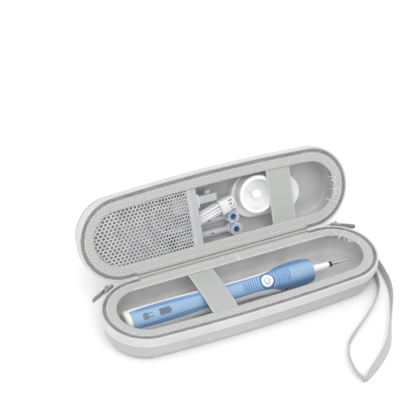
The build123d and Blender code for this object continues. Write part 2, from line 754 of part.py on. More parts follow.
def cord_tube(route):
    """Round cord along a route, with each bend as wide as its runs allow."""
    radii = bend_radii(route)
    print("cord bends, mm:", [round(r, 1) for r in radii])
    path = FilletPolyline(*route, radius=radii)
    start = Plane(origin=path @ 0, z_dir=path % 0)
    return sweep(start * Circle(CORD_DIAMETER / 2), path=path)


# ---- brush heads ----
def head_stem(place):
    """White stem with a cup and a pin for the round brush disc."""
    x, y = place
    foot = x - DISC_RADIUS - STEM_LENGTH + STEM_RING
    face = make_face(
        Polyline(
            (foot, 0),
            (foot, STEM_FOOT_RADIUS),
            (foot + STEM_LENGTH * 0.45, STEM_FOOT_RADIUS * 0.8),
            (x - DISC_RADIUS, STEM_NECK_RADIUS),
            (x, STEM_NECK_RADIUS),
            (x, 0),
            (foot, 0),
        )
    )
    stem = revolve(face, axis=Axis.X)
    cup = Pos(x, 0, -STEM_NECK_RADIUS / 2) * Cylinder(DISC_RADIUS, STEM_NECK_RADIUS)
    above = Pos(x, 0, STEM_NECK_RADIUS) * Box(2.2 * DISC_RADIUS, 3 * DISC_RADIUS, 2 * STEM_NECK_RADIUS)
    pin = Pos(x, 0, DISC / 2) * Cylinder(HEAD_PIN_RADIUS, DISC)
    return Pos(0, y, STEM_AXIS) * (stem - above + cup + pin)


def head_colour_ring(place):
    x, y = place
    end = x - DISC_RADIUS - STEM_LENGTH + STEM_RING
    ring = round_bar(STEM_FOOT_RADIUS, end - STEM_RING, end)
    return Pos(0, y, STEM_AXIS) * (ring - round_bar(STEM_NECK_RADIUS, end - STEM_RING, end))


def head_disc(place):
    x, y = place
    disc = Cylinder(DISC_RADIUS, DISC) - Cylinder(HEAD_PIN_RADIUS + SHAFT_CLEAR, DISC)
    return Pos(x, y, STEM_AXIS + DISC_GAP + DISC / 2) * disc


def head_bristles(place):
    x, y = place
    low = STEM_AXIS + DISC_GAP + DISC
    return Pos(x, y, low + BRISTLES / 2) * Cylinder(DISC_RADIUS - BRISTLE_INSET, BRISTLES)


HANK_LOW = STEM_AXIS + STEM_FOOT_RADIUS + FABRIC_GAP
HANK_Z = HANK_LOW + TIE + HANK_HEIGHT / 2
hank_place = Pos(HANK_X, HANK_Y, HANK_Z) * Rot(0, 0, HANK_TURN)
HANK_END_X = HANK_X - HANK_LENGTH / 2 * cos(radians(HANK_TURN))
HANK_END_Y = HANK_Y - HANK_LENGTH / 2 * sin(radians(HANK_TURN))
PLUG_Z = SEAT + PLUG_HEIGHT / 2
SLEEVE_TIP_X = PLUG_X - SLEEVE_LENGTH
LEAD_ROUTE = [
    (RELIEF_TIP_X, RELIEF_Y, RELIEF_Z),
    (RELIEF_TIP_X - 3.6, RELIEF_Y, RELIEF_Z),
    (RELIEF_TIP_X - 7.2, RELIEF_Y, RELIEF_Z + 1.2),
    (RELIEF_TIP_X - 9.0, RELIEF_Y, RELIEF_Z + 3.6),
    (RELIEF_TIP_X - 9.0, RELIEF_Y, HANK_LOW + TIE),
]
TAIL_ROUTE = [
    (SLEEVE_TIP_X, PLUG_Y, PLUG_Z),
    (-48.2, PLUG_Y, PLUG_Z),
    (-52.2, 8.0, 12.4),
    (-52.8, 1.4, 14.0),
    (-48.6, -4.8, 15.6),
    (-40.8, -8.6, 17.2),
    (HANK_END_X - 8.0, HANK_END_Y - 8.0 * tan(radians(HANK_TURN)), HANK_Z),
    (HANK_END_X, HANK_END_Y, HANK_Z),
]


def cord_hank():
    """Outer shape of the folded cord."""
    bundle = Box(HANK_LENGTH, HANK_WIDTH, HANK_HEIGHT)
    return hank_place * fillet(bundle.edges().filter_by(Axis.Z), HANK_WIDTH * 0.25)


def cord_tie():
    wide, tall = HANK_WIDTH + 2 * TIE, HANK_HEIGHT + 2 * TIE
    band = Box(TIE_WIDTH, wide, tall) - Box(TIE_WIDTH, HANK_WIDTH, HANK_HEIGHT)
    return hank_place * Pos(TIE_X, 0, 0) * band


def plug_body():
    body = Pos(PLUG_X + PLUG_LENGTH / 2, PLUG_Y, PLUG_Z)
    block = Box(PLUG_LENGTH, PLUG_WIDTH, PLUG_HEIGHT)
    return body * fillet(block.edges().filter_by(Axis.Z), PLUG_WIDTH * 0.28)


def plug_sleeve():
    """Tapered sleeve where the cord enters the plug."""
    cone = Cone(SLEEVE_RADIUS * 0.6, SLEEVE_RADIUS, SLEEVE_LENGTH)
    return Pos(SLEEVE_TIP_X + SLEEVE_LENGTH / 2, PLUG_Y, PLUG_Z) * Rot(0, 90, 0) * cone


def plug_blades():
    start = PLUG_X + PLUG_LENGTH
    blade = Box(BLADE_LENGTH, BLADE_WIDTH, BLADE)
    return [
        Pos(start + BLADE_LENGTH / 2, PLUG_Y, PLUG_Z + rise) * blade
        for rise in (-BLADE_PITCH / 2, BLADE_PITCH / 2)
    ]


# ---- every node, in the place it has with the lid open ----
def base_nodes():
    front = -(CASE_WIDTH / 2 + FRONT_BOW - TAPE_REACH + STRAP_TUCK)
    back = CASE_WIDTH / 2 - TAPE_REACH + STRAP_TUCK
    return {
        "base_shell": moulded_shell(BASE),
        "base_lining": lining(BASE),
        "base_rim_band": rim_band(BASE),
        "base_zip_tape": zip_tape(BASE),
        "base_zip_coil": zip_coil(BASE),
        "base_hinge_panel": hinge_panel(BASE),
        "base_elastic_strap": elastic_strap(BASE_STRAP_X, BASE_STRAP_RISE, front, back),
        "strap_loop": strap_loop(),
        "strap_ring": strap_ring(),
        "strap_clasp": strap_clasp(),
        "wrist_strap": wrist_strap(),
        "left_zip_slider": zip_slider(-1),
        "left_zip_pull": zip_pull(-1),
        "right_zip_slider": zip_slider(1),
        "right_zip_pull": zip_pull(1),
    }


def brush_nodes():
    return {
        "handle_shell": handle_shell(),
        "handle_grip": handle_grip(),
        "handle_end_cap": end_cap(),
        "indicator_windows": indicator_windows(),
        "pressure_light": pressure_light(),
        "power_button": power_button(),
        "button_ring": button_ring(),
        "neck_collar": neck_collar(),
        "drive_shaft": drive_shaft(),
        "shaft_seal": shaft_seal(),
        "inner_frame": inner_frame(),
        "motor": motor(),
        "battery_cell": round_bar(CELL_RADIUS, CELL_START, CELL_END),
        "circuit_board": circuit_board(),
        "charging_coil": charging_coil(),
    }


def lid_nodes():
    front = CASE_WIDTH / 2 + FRONT_BOW - TAPE_REACH + STRAP_TUCK
    back = -(CASE_WIDTH / 2 - TAPE_REACH + STRAP_TUCK)
    nodes = {
        "lid_shell": moulded_shell(LID),
        "lid_lining": lining(LID),
        "lid_rim_band": rim_band(LID),
        "lid_zip_tape": zip_tape(LID),
        "lid_zip_coil": zip_coil(LID),
        "lid_hinge_panel": hinge_panel(LID),
        "lid_elastic_strap": elastic_strap(LID_STRAP_X, LID_STRAP_RISE, back, front),
        "mesh_pocket": mesh_pocket(),
        "pocket_edge_band": pocket_edge(),
        "charger_body": charger_body(),
        "charger_post": charger_post(),
        "charger_cover": charger_cover(),
        "charger_coil": charger_coil(),
        "cord_relief": cord_relief(),
        "cord_lead": cord_tube(LEAD_ROUTE),
        "cord_hank": cord_hank(),
        "cord_tail": cord_tube(TAIL_ROUTE),
        "cord_tie": cord_tie(),
        "plug_body": plug_body(),
        "plug_sleeve": plug_sleeve(),
        "plug_blades": plug_blades(),
    }
    for number, place in enumerate(HEAD_PLACES, start=1):
        nodes[f"head_{number}_stem"] = head_stem(place)
        nodes[f"head_{number}_colour_ring"] = head_colour_ring(place)
        nodes[f"head_{number}_disc"] = head_disc(place)
        nodes[f"head_{number}_bristles"] = head_bristles(place)
    return nodes


def placed(location, shape):
    """One solid, or a group of solids, moved to its place."""
    if isinstance(shape, list):
        return Compound(children=[location * piece.solid() for piece in shape])
    return location * shape


def save(nodes, location):
    for name, shape in nodes.items():
        export_step(placed(location, shape), f"parts/{name}.step")


os.makedirs("parts", exist_ok=True)
save(base_nodes(), Pos(0, 0, 0))
save(brush_nodes(), brush_place)
save(lid_nodes(), lid_place)
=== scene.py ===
# %% [markdown]
# # A zipped travel case for an electric toothbrush
# The case is two moulded half shells joined by a strip of fabric. The construction was made in CAD and
# arrives here as a fixed frame. This notebook dresses that frame: it gives every piece its cloth, skin,
# plastic or metal, and makes in mesh the things that CAD only holds a place for, such as the net, the
# woven tape, the zip's coil, the bristles and the cords.

# %% Load the frame
import math
import random

import bmesh
import bpy
from mathutils import Matrix, Vector
from mathutils.bvhtree import BVHTree


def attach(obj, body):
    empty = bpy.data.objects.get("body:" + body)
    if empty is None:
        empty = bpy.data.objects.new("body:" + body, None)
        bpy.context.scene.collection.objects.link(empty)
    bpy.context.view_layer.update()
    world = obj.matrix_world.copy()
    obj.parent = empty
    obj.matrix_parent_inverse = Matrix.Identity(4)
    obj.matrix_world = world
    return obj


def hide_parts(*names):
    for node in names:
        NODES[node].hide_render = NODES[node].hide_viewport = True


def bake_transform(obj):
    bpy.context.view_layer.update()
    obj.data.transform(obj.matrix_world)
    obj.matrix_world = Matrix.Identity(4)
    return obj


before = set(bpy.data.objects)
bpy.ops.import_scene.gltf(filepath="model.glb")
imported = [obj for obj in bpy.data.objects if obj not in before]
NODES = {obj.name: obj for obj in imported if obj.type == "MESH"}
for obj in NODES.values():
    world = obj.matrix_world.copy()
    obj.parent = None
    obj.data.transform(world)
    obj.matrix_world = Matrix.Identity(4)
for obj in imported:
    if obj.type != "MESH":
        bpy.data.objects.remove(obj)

bpy.context.view_layer.update()
MM = 0.001

# %% [markdown]
# ## The plan of the case
# Each half has the same plan: a straight hinge side, two round ends, and a front that bows out a little,
# so that the case fills the hand. Everything sewn round the rim follows this plan at some distance in
# from the zip, or out from it. The bow is part of a very large circle that meets the ends smoothly.

# %% Sizes of the plan, and the place of the lid
CASE_WIDTH = 66.4 * MM
END_RADIUS = CASE_WIDTH / 2
END_CENTRE = 84.3 * MM
FRONT_BOW = 2.5 * MM
HALF_DEPTH = 26.0 * MM
HINGE_HALF = 76.0 * MM
FOLD_Y = END_RADIUS + 0.8 * MM
CLEAR_OF_FOLD = 0.3 * MM
LID_OPEN = math.radians(115.8)

BOW_REACH = (END_CENTRE**2 + FRONT_BOW**2) / (2 * FRONT_BOW)
BOW_DROP = BOW_REACH - FRONT_BOW
BOW_ANGLE = math.asin(END_CENTRE / BOW_REACH)
END_TURN = math.pi - BOW_ANGLE

HALF_TURN = Matrix.Rotation(math.pi, 4, "Z")
LID_PLACE = (
    Matrix.Translation((0, FOLD_Y, HALF_DEPTH))
    @ Matrix.Rotation(math.pi - LID_OPEN, 4, "X")
    @ Matrix.Translation((0, FOLD_Y, -HALF_DEPTH))
)
PLACES = {"base": Matrix.Identity(4), "lid": LID_PLACE @ HALF_TURN}


def in_lid(x, y, z):
    """A place in the lid, given in millimetres in the lid's own frame."""
    return LID_PLACE @ Vector((x * MM, y * MM, z * MM))


def along_zip(x, y):
    """Distance along the zip from the middle of the front; negative towards the left."""
    far_x = abs(x)
    front = (BOW_REACH + END_RADIUS) * BOW_ANGLE
    if y < 0 and math.atan2(far_x, BOW_DROP - y) <= BOW_ANGLE:
        distance = (BOW_REACH + END_RADIUS) * math.atan2(far_x, BOW_DROP - y)
    elif far_x > END_CENTRE or y < 0:
        turn = math.atan2(y, far_x - END_CENTRE) + math.pi / 2 - BOW_ANGLE
        distance = front + END_RADIUS * turn
    else:
        distance = front + END_RADIUS * END_TURN + END_CENTRE - far_x
    return math.copysign(distance, x)


ZIP_HALF = along_zip(1e-9, END_RADIUS)
print("zip line, all round:", round(2 * ZIP_HALF / MM), "mm")

# %% [markdown]
# ## Camera
# The camera looks down on the open case from the front left with a long lens, so that edges stay nearly
# parallel. Its place and its three directions are given outright, and its shift only frames the case.

# %% Camera
camera_data = bpy.data.cameras.new("camera")
camera_data.sensor_width = 36.0
camera_data.lens = 112.57
camera_data.shift_x = -0.0578
camera_data.shift_y = -0.0465
camera_data.clip_start = 0.05
camera = bpy.data.objects.new("camera", camera_data)
bpy.context.scene.collection.objects.link(camera)
CAMERA_PLACE = Vector((-0.36608, -0.63844, 0.69136))
CAMERA_RIGHT = Vector((0.89847275, -0.43605732, 0.05099749))
CAMERA_UP = Vector((0.23136688, 0.56900697, 0.7891137))
CAMERA_BACK = CAMERA_RIGHT.cross(CAMERA_UP)
turn = Matrix((CAMERA_RIGHT, CAMERA_UP, CAMERA_BACK)).transposed().to_4x4()
camera.matrix_world = Matrix.Translation(CAMERA_PLACE) @ turn
bpy.context.scene.camera = camera

# %% [markdown]
# ## Materials
# Each finish starts from what the real one is. One function turns an sRGB colour into Blender's linear
# values, and one adds a shader node with its settings and its links, so that a material reads as a short
# list of what happens to the light.

# %% Helpers for materials
def colour(hex_code):
    """sRGB hex code to linear RGBA."""
    parts = [int(hex_code[i : i + 2], 16) / 255 for i in (1, 3, 5)]
    linear = [c / 12.92 if c <= 0.04045 else ((c + 0.055) / 1.055) ** 2.4 for c in parts]
    return (*linear, 1.0)


def add(tree, kind, inputs=None, **settings):
    """Add a node; an input is a value or another node's output socket."""
    made = tree.nodes.new(kind)
    for name, value in settings.items():
        setattr(made, name, value)
    for key, value in (inputs or {}).items():
        if isinstance(value, bpy.types.NodeSocket):
            tree.links.new(value, made.inputs[key])
        else:
            made.inputs[key].default_value = value
    return made


def new_material(name, roughness, hex_code=None, metallic=0.0, ior=1.5, **more):
    """A material with one Principled shader; returns the material, its tree and the shader."""
    material = bpy.data.materials.new(name)
    material.use_nodes = True
    tree = material.node_tree
    shader = tree.nodes["Principled BSDF"]
    shader.inputs["Roughness"].default_value = roughness
    shader.inputs["Metallic"].default_value = metallic
    shader.inputs["IOR"].default_value = ior
    for key, value in more.items():
        shader.inputs[key.replace("_", " ")].default_value = value
    if hex_code:
        shader.inputs["Base Color"].default_value = colour(hex_code)
    return material, tree, shader


def tint(tree, shader, pattern, stops):
    """Colour the shader by a pattern from 0 to 1, with (place, hex code) stops."""
    ramp = add(tree, "ShaderNodeValToRGB", {"Fac": pattern})
    ramp.color_ramp.elements[0].position = stops[0][0]
    ramp.color_ramp.elements[0].color = colour(stops[0][1])
    ramp.color_ramp.elements[1].position = stops[-1][0]
    ramp.color_ramp.elements[1].color = colour(stops[-1][1])
    for place, code in stops[1:-1]:
        ramp.color_ramp.elements.new(place).color = colour(code)
    tree.links.new(ramp.outputs["Color"], shader.inputs["Base Color"])


def bump(tree, shader, height, depth, strength=1.0):
    """Raise the surface by a height pattern, depth in metres."""
    raised = add(
        tree, "ShaderNodeBump", {"Height": height, "Distance": depth, "Strength": strength}
    )
    tree.links.new(raised.outputs["Normal"], shader.inputs["Normal"])


def sum_of(tree, kind, first, second):
    return add(tree, "ShaderNodeMath", {0: first, 1: second}, operation=kind).outputs[0]


def noise(tree, where, grain, detail=2.0):
    """A noise pattern from 0 to 1, with its grain in millimetres."""
    values = {"Vector": where, "Scale": 1 / (grain * MM), "Detail": detail}
    return add(tree, "ShaderNodeTexNoise", values).outputs["Fac"]


def object_place(tree):
    return add(tree, "ShaderNodeTexCoord").outputs["Object"]


def paint(obj, material):
    obj.data.materials.clear()
    obj.data.materials.append(material)


# %% [markdown]
# ### Skin, band and lining
# The shells are foam pressed to shape under a polyurethane skin. The skin's grain is pebbled, about a
# millimetre across, which breaks the highlight into a satin glow. The rim band is a smoother coated
# strip, and the lining is brushed knit with a soft sheen and hardly any grain.

# %% Moulded skin, rim band and lining
def pebbled_skin():
    material, tree, shader = new_material("pebbled_pu_skin", 0.5, Sheen_Weight=0.1)
    where = object_place(tree)
    grain = add(tree, "ShaderNodeTexVoronoi", {"Vector": where, "Scale": 1 / (0.9 * MM)})
    broad = noise(tree, where, 28, 3.0)
    mixed = sum_of(tree, "MULTIPLY", grain.outputs["Distance"], 0.35)
    mixed = sum_of(tree, "ADD", mixed, broad)
    tint(tree, shader, mixed, [(0.3, "#b9b9b9"), (0.6, "#c0c0c0"), (0.95, "#b2b2b3")])
    bump(tree, shader, grain.outputs["Distance"], 0.06 * MM, 0.6)
    return material


def coated_band():
    material, tree, shader = new_material("coated_rim_band", 0.42, Sheen_Weight=0.15)
    where = object_place(tree)
    tint(tree, shader, noise(tree, where, 20), [(0.3, "#cacaca"), (0.7, "#d2d2d1")])
    bump(tree, shader, noise(tree, where, 0.7), 0.05 * MM, 0.5)
    return material


def brushed_lining():
    material, tree, shader = new_material("brushed_knit_lining", 0.55, Sheen_Weight=0.25)
    where = object_place(tree)
    tint(tree, shader, noise(tree, where, 18), [(0.3, "#c6c6c7"), (0.7, "#d6d6d6")])
    bump(tree, shader, noise(tree, where, 0.8, 4.0), 0.1 * MM, 0.5)
    return material


PEBBLED_SKIN = pebbled_skin()
RIM_BAND = coated_band()
LINING = brushed_lining()

# %% [markdown]
# ### Woven cloths
# Tape, elastic and webbing are woven, so their pattern must run with the strip. Each such mesh carries a
# UV map in millimetres: U along the strip and V across it. The zip tape is a herringbone twill, whose
# small slopes change side every few threads. The elastic has fine ribs along its length, and a denser
# selvedge at both edges.

# %% Woven materials, which read the strip's own millimetres
def strip_place(tree):
    """The two coordinates of a strip, in millimetres: along and across."""
    place = add(tree, "ShaderNodeUVMap", uv_map="strip")
    parts = add(tree, "ShaderNodeSeparateXYZ", {"Vector": place.outputs["UV"]})
    return parts.outputs["X"], parts.outputs["Y"]


def ripple(tree, value, pitch):
    """A smooth wave from 0 to 1 with the given pitch in millimetres."""
    turned = sum_of(tree, "MULTIPLY", value, 2 * math.pi / pitch)
    wave = add(tree, "ShaderNodeMath", {0: turned}, operation="SINE").outputs[0]
    return add(tree, "ShaderNodeMath", {0: wave, 1: 0.5, 2: 0.5}, operation="MULTIPLY_ADD").outputs[0]


def herringbone(name, light, dark, pitch=1.0, column=2.6, depth=0.16 * MM, roughness=0.75):
    """Twill whose slope changes side in every column of threads."""
    material, tree, shader = new_material(name, roughness, Sheen_Weight=0.2)
    along, across = strip_place(tree)
    fold = add(tree, "ShaderNodeMath", {0: across, 1: column}, operation="PINGPONG").outputs[0]
    threads = ripple(tree, sum_of(tree, "ADD", along, fold), pitch)
    yarn = ripple(tree, across, column / 4)
    weave = sum_of(tree, "MULTIPLY", threads, sum_of(tree, "ADD", yarn, 0.6))
    tint(tree, shader, weave, [(0.0, dark), (0.9, light)])
    bump(tree, shader, weave, depth, 0.8)
    return material


def ribbed_elastic():
    material, tree, shader = new_material("ribbed_elastic", 0.65, Sheen_Weight=0.2)
    along, across = strip_place(tree)
    ribs = ripple(tree, across, 0.85)
    picks = ripple(tree, along, 0.7)
    weave = sum_of(tree, "MULTIPLY", sum_of(tree, "ADD", picks, 1.0), sum_of(tree, "ADD", ribs, 0.5))
    edge = add(tree, "ShaderNodeMath", {0: across}, operation="ABSOLUTE").outputs[0]
    selvedge = add(
        tree, "ShaderNodeMapRange", {"Value": edge, "From Min": 9.4, "From Max": 9.7}
    ).outputs["Result"]
    tint(tree, shader, selvedge, [(0.0, "#b2b5b2"), (1.0, "#cccecc")])
    bump(tree, shader, weave, 0.06 * MM, 0.6)
    return material


def ribbon_webbing():
    material, tree, shader = new_material("flat_polyester_webbing", 0.6, Sheen_Weight=0.25)
    along, across = strip_place(tree)
    fold = add(tree, "ShaderNodeMath", {0: across, 1: 1.3}, operation="PINGPONG").outputs[0]
    weave = ripple(tree, sum_of(tree, "ADD", along, fold), 1.1)
    tint(tree, shader, weave, [(0.0, "#a6a6a8"), (1.0, "#cfcfd0")])
    bump(tree, shader, weave, 0.14 * MM, 0.8)
    return material


ZIP_TAPE = herringbone(
    "herringbone_zip_tape", "#e6e6e5", "#888887", pitch=1.7, column=3.4, depth=0.2 * MM
)
HINGE_CLOTH = herringbone("woven_hinge_cloth", "#cfcfce", "#8f8f8e", pitch=1.6, column=3.2)
ELASTIC_BAND = ribbed_elastic()
WEBBING = ribbon_webbing()

# %% [markdown]
# ### Plastics, rubber and metals
# The toothbrush, its charger and its cord are moulded plastic. Moulded plastic is never one flat colour:
# the surface carries a faint ripple from the mould, and the colour drifts a little. The brush stems
# let some light through. The metals keep their natural reflectance.

# %% Moulded plastics and rubber
def moulded(name, light, dark, roughness, drift=9.0, **more):
    """Glossy or satin moulded plastic with a slow drift of colour and a faint mould ripple."""
    material, tree, shader = new_material(name, roughness, **more)
    where = object_place(tree)
    tint(tree, shader, noise(tree, where, drift, 1.0), [(0.3, dark), (0.7, light)])
    bump(tree, shader, noise(tree, where, 0.6, 1.0), 0.01 * MM, 0.35)
    return material


WHITE_ABS = moulded("gloss_white_abs", "#f7f7f7", "#f2f2f3", 0.24, Coat_Weight=0.3)
CORD_PVC = moulded("soft_white_pvc", "#e9e9ea", "#dededf", 0.38)
PLUG_WHITE = moulded("satin_white_plug", "#e8e8e9", "#dcdcde", 0.4)
CREAM = moulded("cream_plastic", "#eceade", "#e2dfd2", 0.4)
WINDOW_GREY = moulded("smoked_grey_window", "#788391", "#667280", 0.25)
RING_BLUE = moulded("dark_blue_ring", "#4d80bb", "#41719f", 0.35)
RED_LENS = moulded("red_lens", "#d4213a", "#a91128", 0.2, Transmission_Weight=0.2)
SEAL_RUBBER = moulded("black_seal_rubber", "#3b3d40", "#2b2c2f", 0.55)
PINK_RING = moulded("pink_id_ring", "#e06b95", "#d15b87", 0.35)
TEAL_RING = moulded("teal_id_ring", "#3fa7a2", "#2f918e", 0.35)
TIE_WHITE = moulded("white_wrap_tie", "#e6e6e6", "#dadada", 0.5)
CELL_SLEEVE = moulded("green_cell_sleeve", "#3f7f54", "#35704a", 0.35)
FRAME_GREY = moulded("grey_frame_plastic", "#8d8f92", "#7b7d80", 0.5)
BOARD_GREEN = moulded("board_laminate", "#2f6b43", "#285c3a", 0.4)
# Near black: painted shade for the slots in the brush stems.
SLOT_SHADE = moulded("slot_painted_shade", "#3a3c40", "#2b2d31", 0.6)
STITCH = moulded("spun_stitch_thread", "#f2f2f1", "#dededd", 0.7)
ZIP_TEETH = moulded("nylon_zip_coil", "#9c9c9d", "#7e7e7f", 0.4)
SILICONE_STEM = moulded("clear_brush_stem", "#eef0f2", "#e3e6ea", 0.3, Transmission_Weight=0.25)


ROLL = math.radians(34)
HANDLE_AXIS = Vector((0, 0.3, 13.9)) * MM


def soft_grip():
    """Blue rubber with painted shade: darker towards the panel's long edges, where it turns away from the
    light.
    """
    material, tree, shader = new_material("soft_blue_rubber", 0.42, Coat_Weight=0.08)
    where = object_place(tree)
    own = add(tree, "ShaderNodeVectorMath", {0: where, 1: tuple(HANDLE_AXIS)}, operation="SUBTRACT")
    own = own.outputs["Vector"]
    own = add(tree, "ShaderNodeVectorRotate", {"Vector": own, "Angle": -ROLL}, rotation_type="X_AXIS")
    across = add(tree, "ShaderNodeSeparateXYZ", {"Vector": own.outputs["Vector"]}).outputs["Y"]
    edge = add(tree, "ShaderNodeMath", {0: across}, operation="ABSOLUTE").outputs[0]
    shade = add(tree, "ShaderNodeMapRange", {"Value": edge, "From Min": 3.2 * MM, "From Max": 7.6 * MM})
    tint(tree, shader, shade.outputs["Result"], [(0.0, "#93b4d2"), (0.6, "#82a6c8"), (1.0, "#5c87b4")])
    bump(tree, shader, noise(tree, where, 0.5), 0.02 * MM, 0.4)
    return material


def metal(name, light, dark, roughness, scratch):
    """Bare metal with fine marks along one direction; IOR stays at the metal default."""
    material, tree, shader = new_material(name, roughness, metallic=1.0)
    where = object_place(tree)
    stretched = add(tree, "ShaderNodeMapping", {"Vector": where, "Scale": scratch})
    marks = noise(tree, stretched.outputs["Vector"], 0.4)
    tint(tree, shader, marks, [(0.2, light), (0.8, dark)])
    bump(tree, shader, marks, 0.015 * MM, 0.4)
    return material


BLUE_GRIP = soft_grip()
BRIGHT_STEEL = metal("bright_plated_steel", "#d6d8db", "#cccfd3", 0.22, (0.15, 1.0, 1.0))
DARK_STEEL = metal("satin_nickel_zip", "#cdced0", "#bfc0c3", 0.38, (0.2, 1.0, 1.0))
MOTOR_CAN = metal("motor_can_steel", "#b8babe", "#a9acb1", 0.35, (0.15, 1.0, 1.0))
COPPER = metal("wound_copper", "#d09468", "#b97a50", 0.35, (4.0, 1.0, 1.0))


def nylon(name, grain, stops):
    material, tree, shader = new_material(name, 0.45)
    tint(tree, shader, noise(tree, object_place(tree), grain), stops)
    return material


NYLON = nylon("nylon_bristle", 1.2, [(0.35, "#cfe0f2"), (0.6, "#f1f4f7")])
BLUE_NYLON = nylon("blue_nylon_bristle", 1.0, [(0.3, "#2c4f9a"), (0.7, "#4a74bd")])
print("materials", len(bpy.data.materials))

# %% [markdown]
# ## Meshes by sweeping an edge chain
# Almost everything on the rim is one section carried along the plan. The helper draws the section as a
# chain of edges at one end of the straight hinge side. It extrudes the chain along that side, spins it
# round the end of the case, spins it on round the far centre of the bow to the middle of the front, and
# mirrors the result. The same operators would sweep the lip of any tray.

# %% Helpers for meshes
def new_object(name, data):
    obj = bpy.data.objects.new(name.replace(" ", "_"), data)
    bpy.context.scene.collection.objects.link(obj)
    return obj


def finished(bm, name, material, place=None, smooth=True, body=None, merge=1e-6):
    """Turn a bmesh into an object that rides a body, with its material and material slot."""
    if place is not None:
        bmesh.ops.transform(bm, matrix=place, verts=bm.verts)
    if merge:
        bmesh.ops.remove_doubles(bm, verts=bm.verts, dist=merge)
    bmesh.ops.recalc_face_normals(bm, faces=bm.faces)
    data = bpy.data.meshes.new(name)
    bm.to_mesh(data)
    bm.free()
    obj = new_object(name, data)
    for polygon in data.polygons:
        polygon.use_smooth = smooth
    if smooth:
        data.set_sharp_from_angle(angle=math.radians(35))
    paint(obj, material)
    if body:
        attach(obj, body)
    return obj


def solid_strip(obj, thickness):
    """Give a strip its thickness, on both sides of the drawn surface."""
    modifier = obj.modifiers.new("thickness", "SOLIDIFY")
    modifier.thickness = thickness
    modifier.offset = 0.0
    return obj


def edge_chain(bm, points):
    verts = [bm.verts.new(Vector(p) * MM) for p in points]
    return [bm.edges.new(pair) for pair in zip(verts, verts[1:])]


def grow(bm, chain, steps, step):
    """Extrude a chain of edges by the same step, several times, and return the last chain."""
    for _ in range(steps):
        made = bmesh.ops.extrude_edge_only(bm, edges=chain)["geom"]
        chain = [g for g in made if isinstance(g, bmesh.types.BMEdge)]
        verts = [g for g in made if isinstance(g, bmesh.types.BMVert)]
        bmesh.ops.translate(bm, verts=verts, vec=step)
    return chain


def swept_rim(profile, straight=30, end=72, front=44, start_x=0.0):
    """Sweep a section round half of the plan and mirror it.

    The profile holds (offset from the zip line, height) in millimetres. The base frame is used: the
    hinge side lies at +y. The result is open in the middle of the hinge side if start_x is not 0.
    """
    bm = bmesh.new()
    points = [(start_x / MM, END_RADIUS / MM + offset, height) for offset, height in profile]
    edges = edge_chain(bm, points)
    edges = grow(bm, edges, straight, ((END_CENTRE - start_x) / straight, 0, 0))
    made = bmesh.ops.spin(
        bm, geom=edges + list({v for e in edges for v in e.verts}), cent=(END_CENTRE, 0, 0),
        axis=(0, 0, 1), angle=-END_TURN, steps=end,
    )["geom_last"]
    edges = [g for g in made if isinstance(g, bmesh.types.BMEdge)]
    bmesh.ops.spin(
        bm, geom=edges + list({v for e in edges for v in e.verts}), cent=(0, BOW_DROP, 0),
        axis=(0, 0, 1), angle=-BOW_ANGLE, steps=front,
    )
    bmesh.ops.remove_doubles(bm, verts=bm.verts, dist=1e-7)
    bmesh.ops.mirror(bm, geom=list(bm.faces) + list(bm.edges) + list(bm.verts), axis="X", merge_dist=1e-6)
    bmesh.ops.remove_doubles(bm, verts=bm.verts, dist=2e-6)
    return bm


def strip_uv(bm, place):
    """Write the strip's millimetres into a UV map; place gives (along, across) of a point."""
    layer = bm.loops.layers.uv.new("strip")
    for face in bm.faces:
        spots = [place(loop.vert.co) for loop in face.loops]
        wide = max(s[0] for s in spots) - min(s[0] for s in spots)
        for loop, (along, across) in zip(face.loops, spots):
            if wide > ZIP_HALF and along < 0:
                along += 2 * ZIP_HALF
            loop[layer].uv = (along / MM, across / MM)


def zip_offset(x, y):
    """How far a place lies outside the zip line; negative inside."""
    far_x = abs(x)
    if y < 0 and math.atan2(far_x, BOW_DROP - y) <= BOW_ANGLE:
        return math.hypot(far_x, BOW_DROP - y) - BOW_REACH - END_RADIUS
    if far_x > END_CENTRE:
        return math.hypot(far_x - END_CENTRE, y) - END_RADIUS
    return abs(y) - END_RADIUS


def on_plan(point):
    return along_zip(point.x, point.y), zip_offset(point.x, point.y)


def clamp_hinge(bm):
    """Nothing of a half reaches past the fold line of the hinge."""
    limit = FOLD_Y - CLEAR_OF_FOLD
    for vert in bm.verts:
        vert.co.y = min(vert.co.y, limit)


def plan_point(along, offset):
    """The place and heading at a distance along the zip, and out from it, in metres."""
    rest = abs(along)
    front = (BOW_REACH + END_RADIUS) * BOW_ANGLE
    round_end = front + END_RADIUS * END_TURN
    if rest < front:
        angle = rest / (BOW_REACH + END_RADIUS)
        reach = BOW_REACH + END_RADIUS + offset
        x, y, heading = reach * math.sin(angle), BOW_DROP - reach * math.cos(angle), angle
    elif rest < round_end:
        angle = BOW_ANGLE + (rest - front) / END_RADIUS
        reach = END_RADIUS + offset
        x, y, heading = END_CENTRE + reach * math.sin(angle), -reach * math.cos(angle), angle
    else:
        x, y, heading = END_CENTRE - (rest - round_end), END_RADIUS + offset, math.pi
    side = 1 if along >= 0 else -1
    return side * x, y, heading * side


def row_of(bm, seed, spots):
    """Copies the seed geometry to each spot, a matrix, and removes the seed."""
    source = list(seed)
    for spot in spots:
        made = bmesh.ops.duplicate(bm, geom=source)["geom"]
        verts = [g for g in made if isinstance(g, bmesh.types.BMVert)]
        bmesh.ops.transform(bm, matrix=spot, verts=verts)
    bmesh.ops.delete(bm, geom=[g for g in source if isinstance(g, bmesh.types.BMVert)], context="VERTS")


def geometry(bm):
    return list(bm.verts) + list(bm.edges) + list(bm.faces)


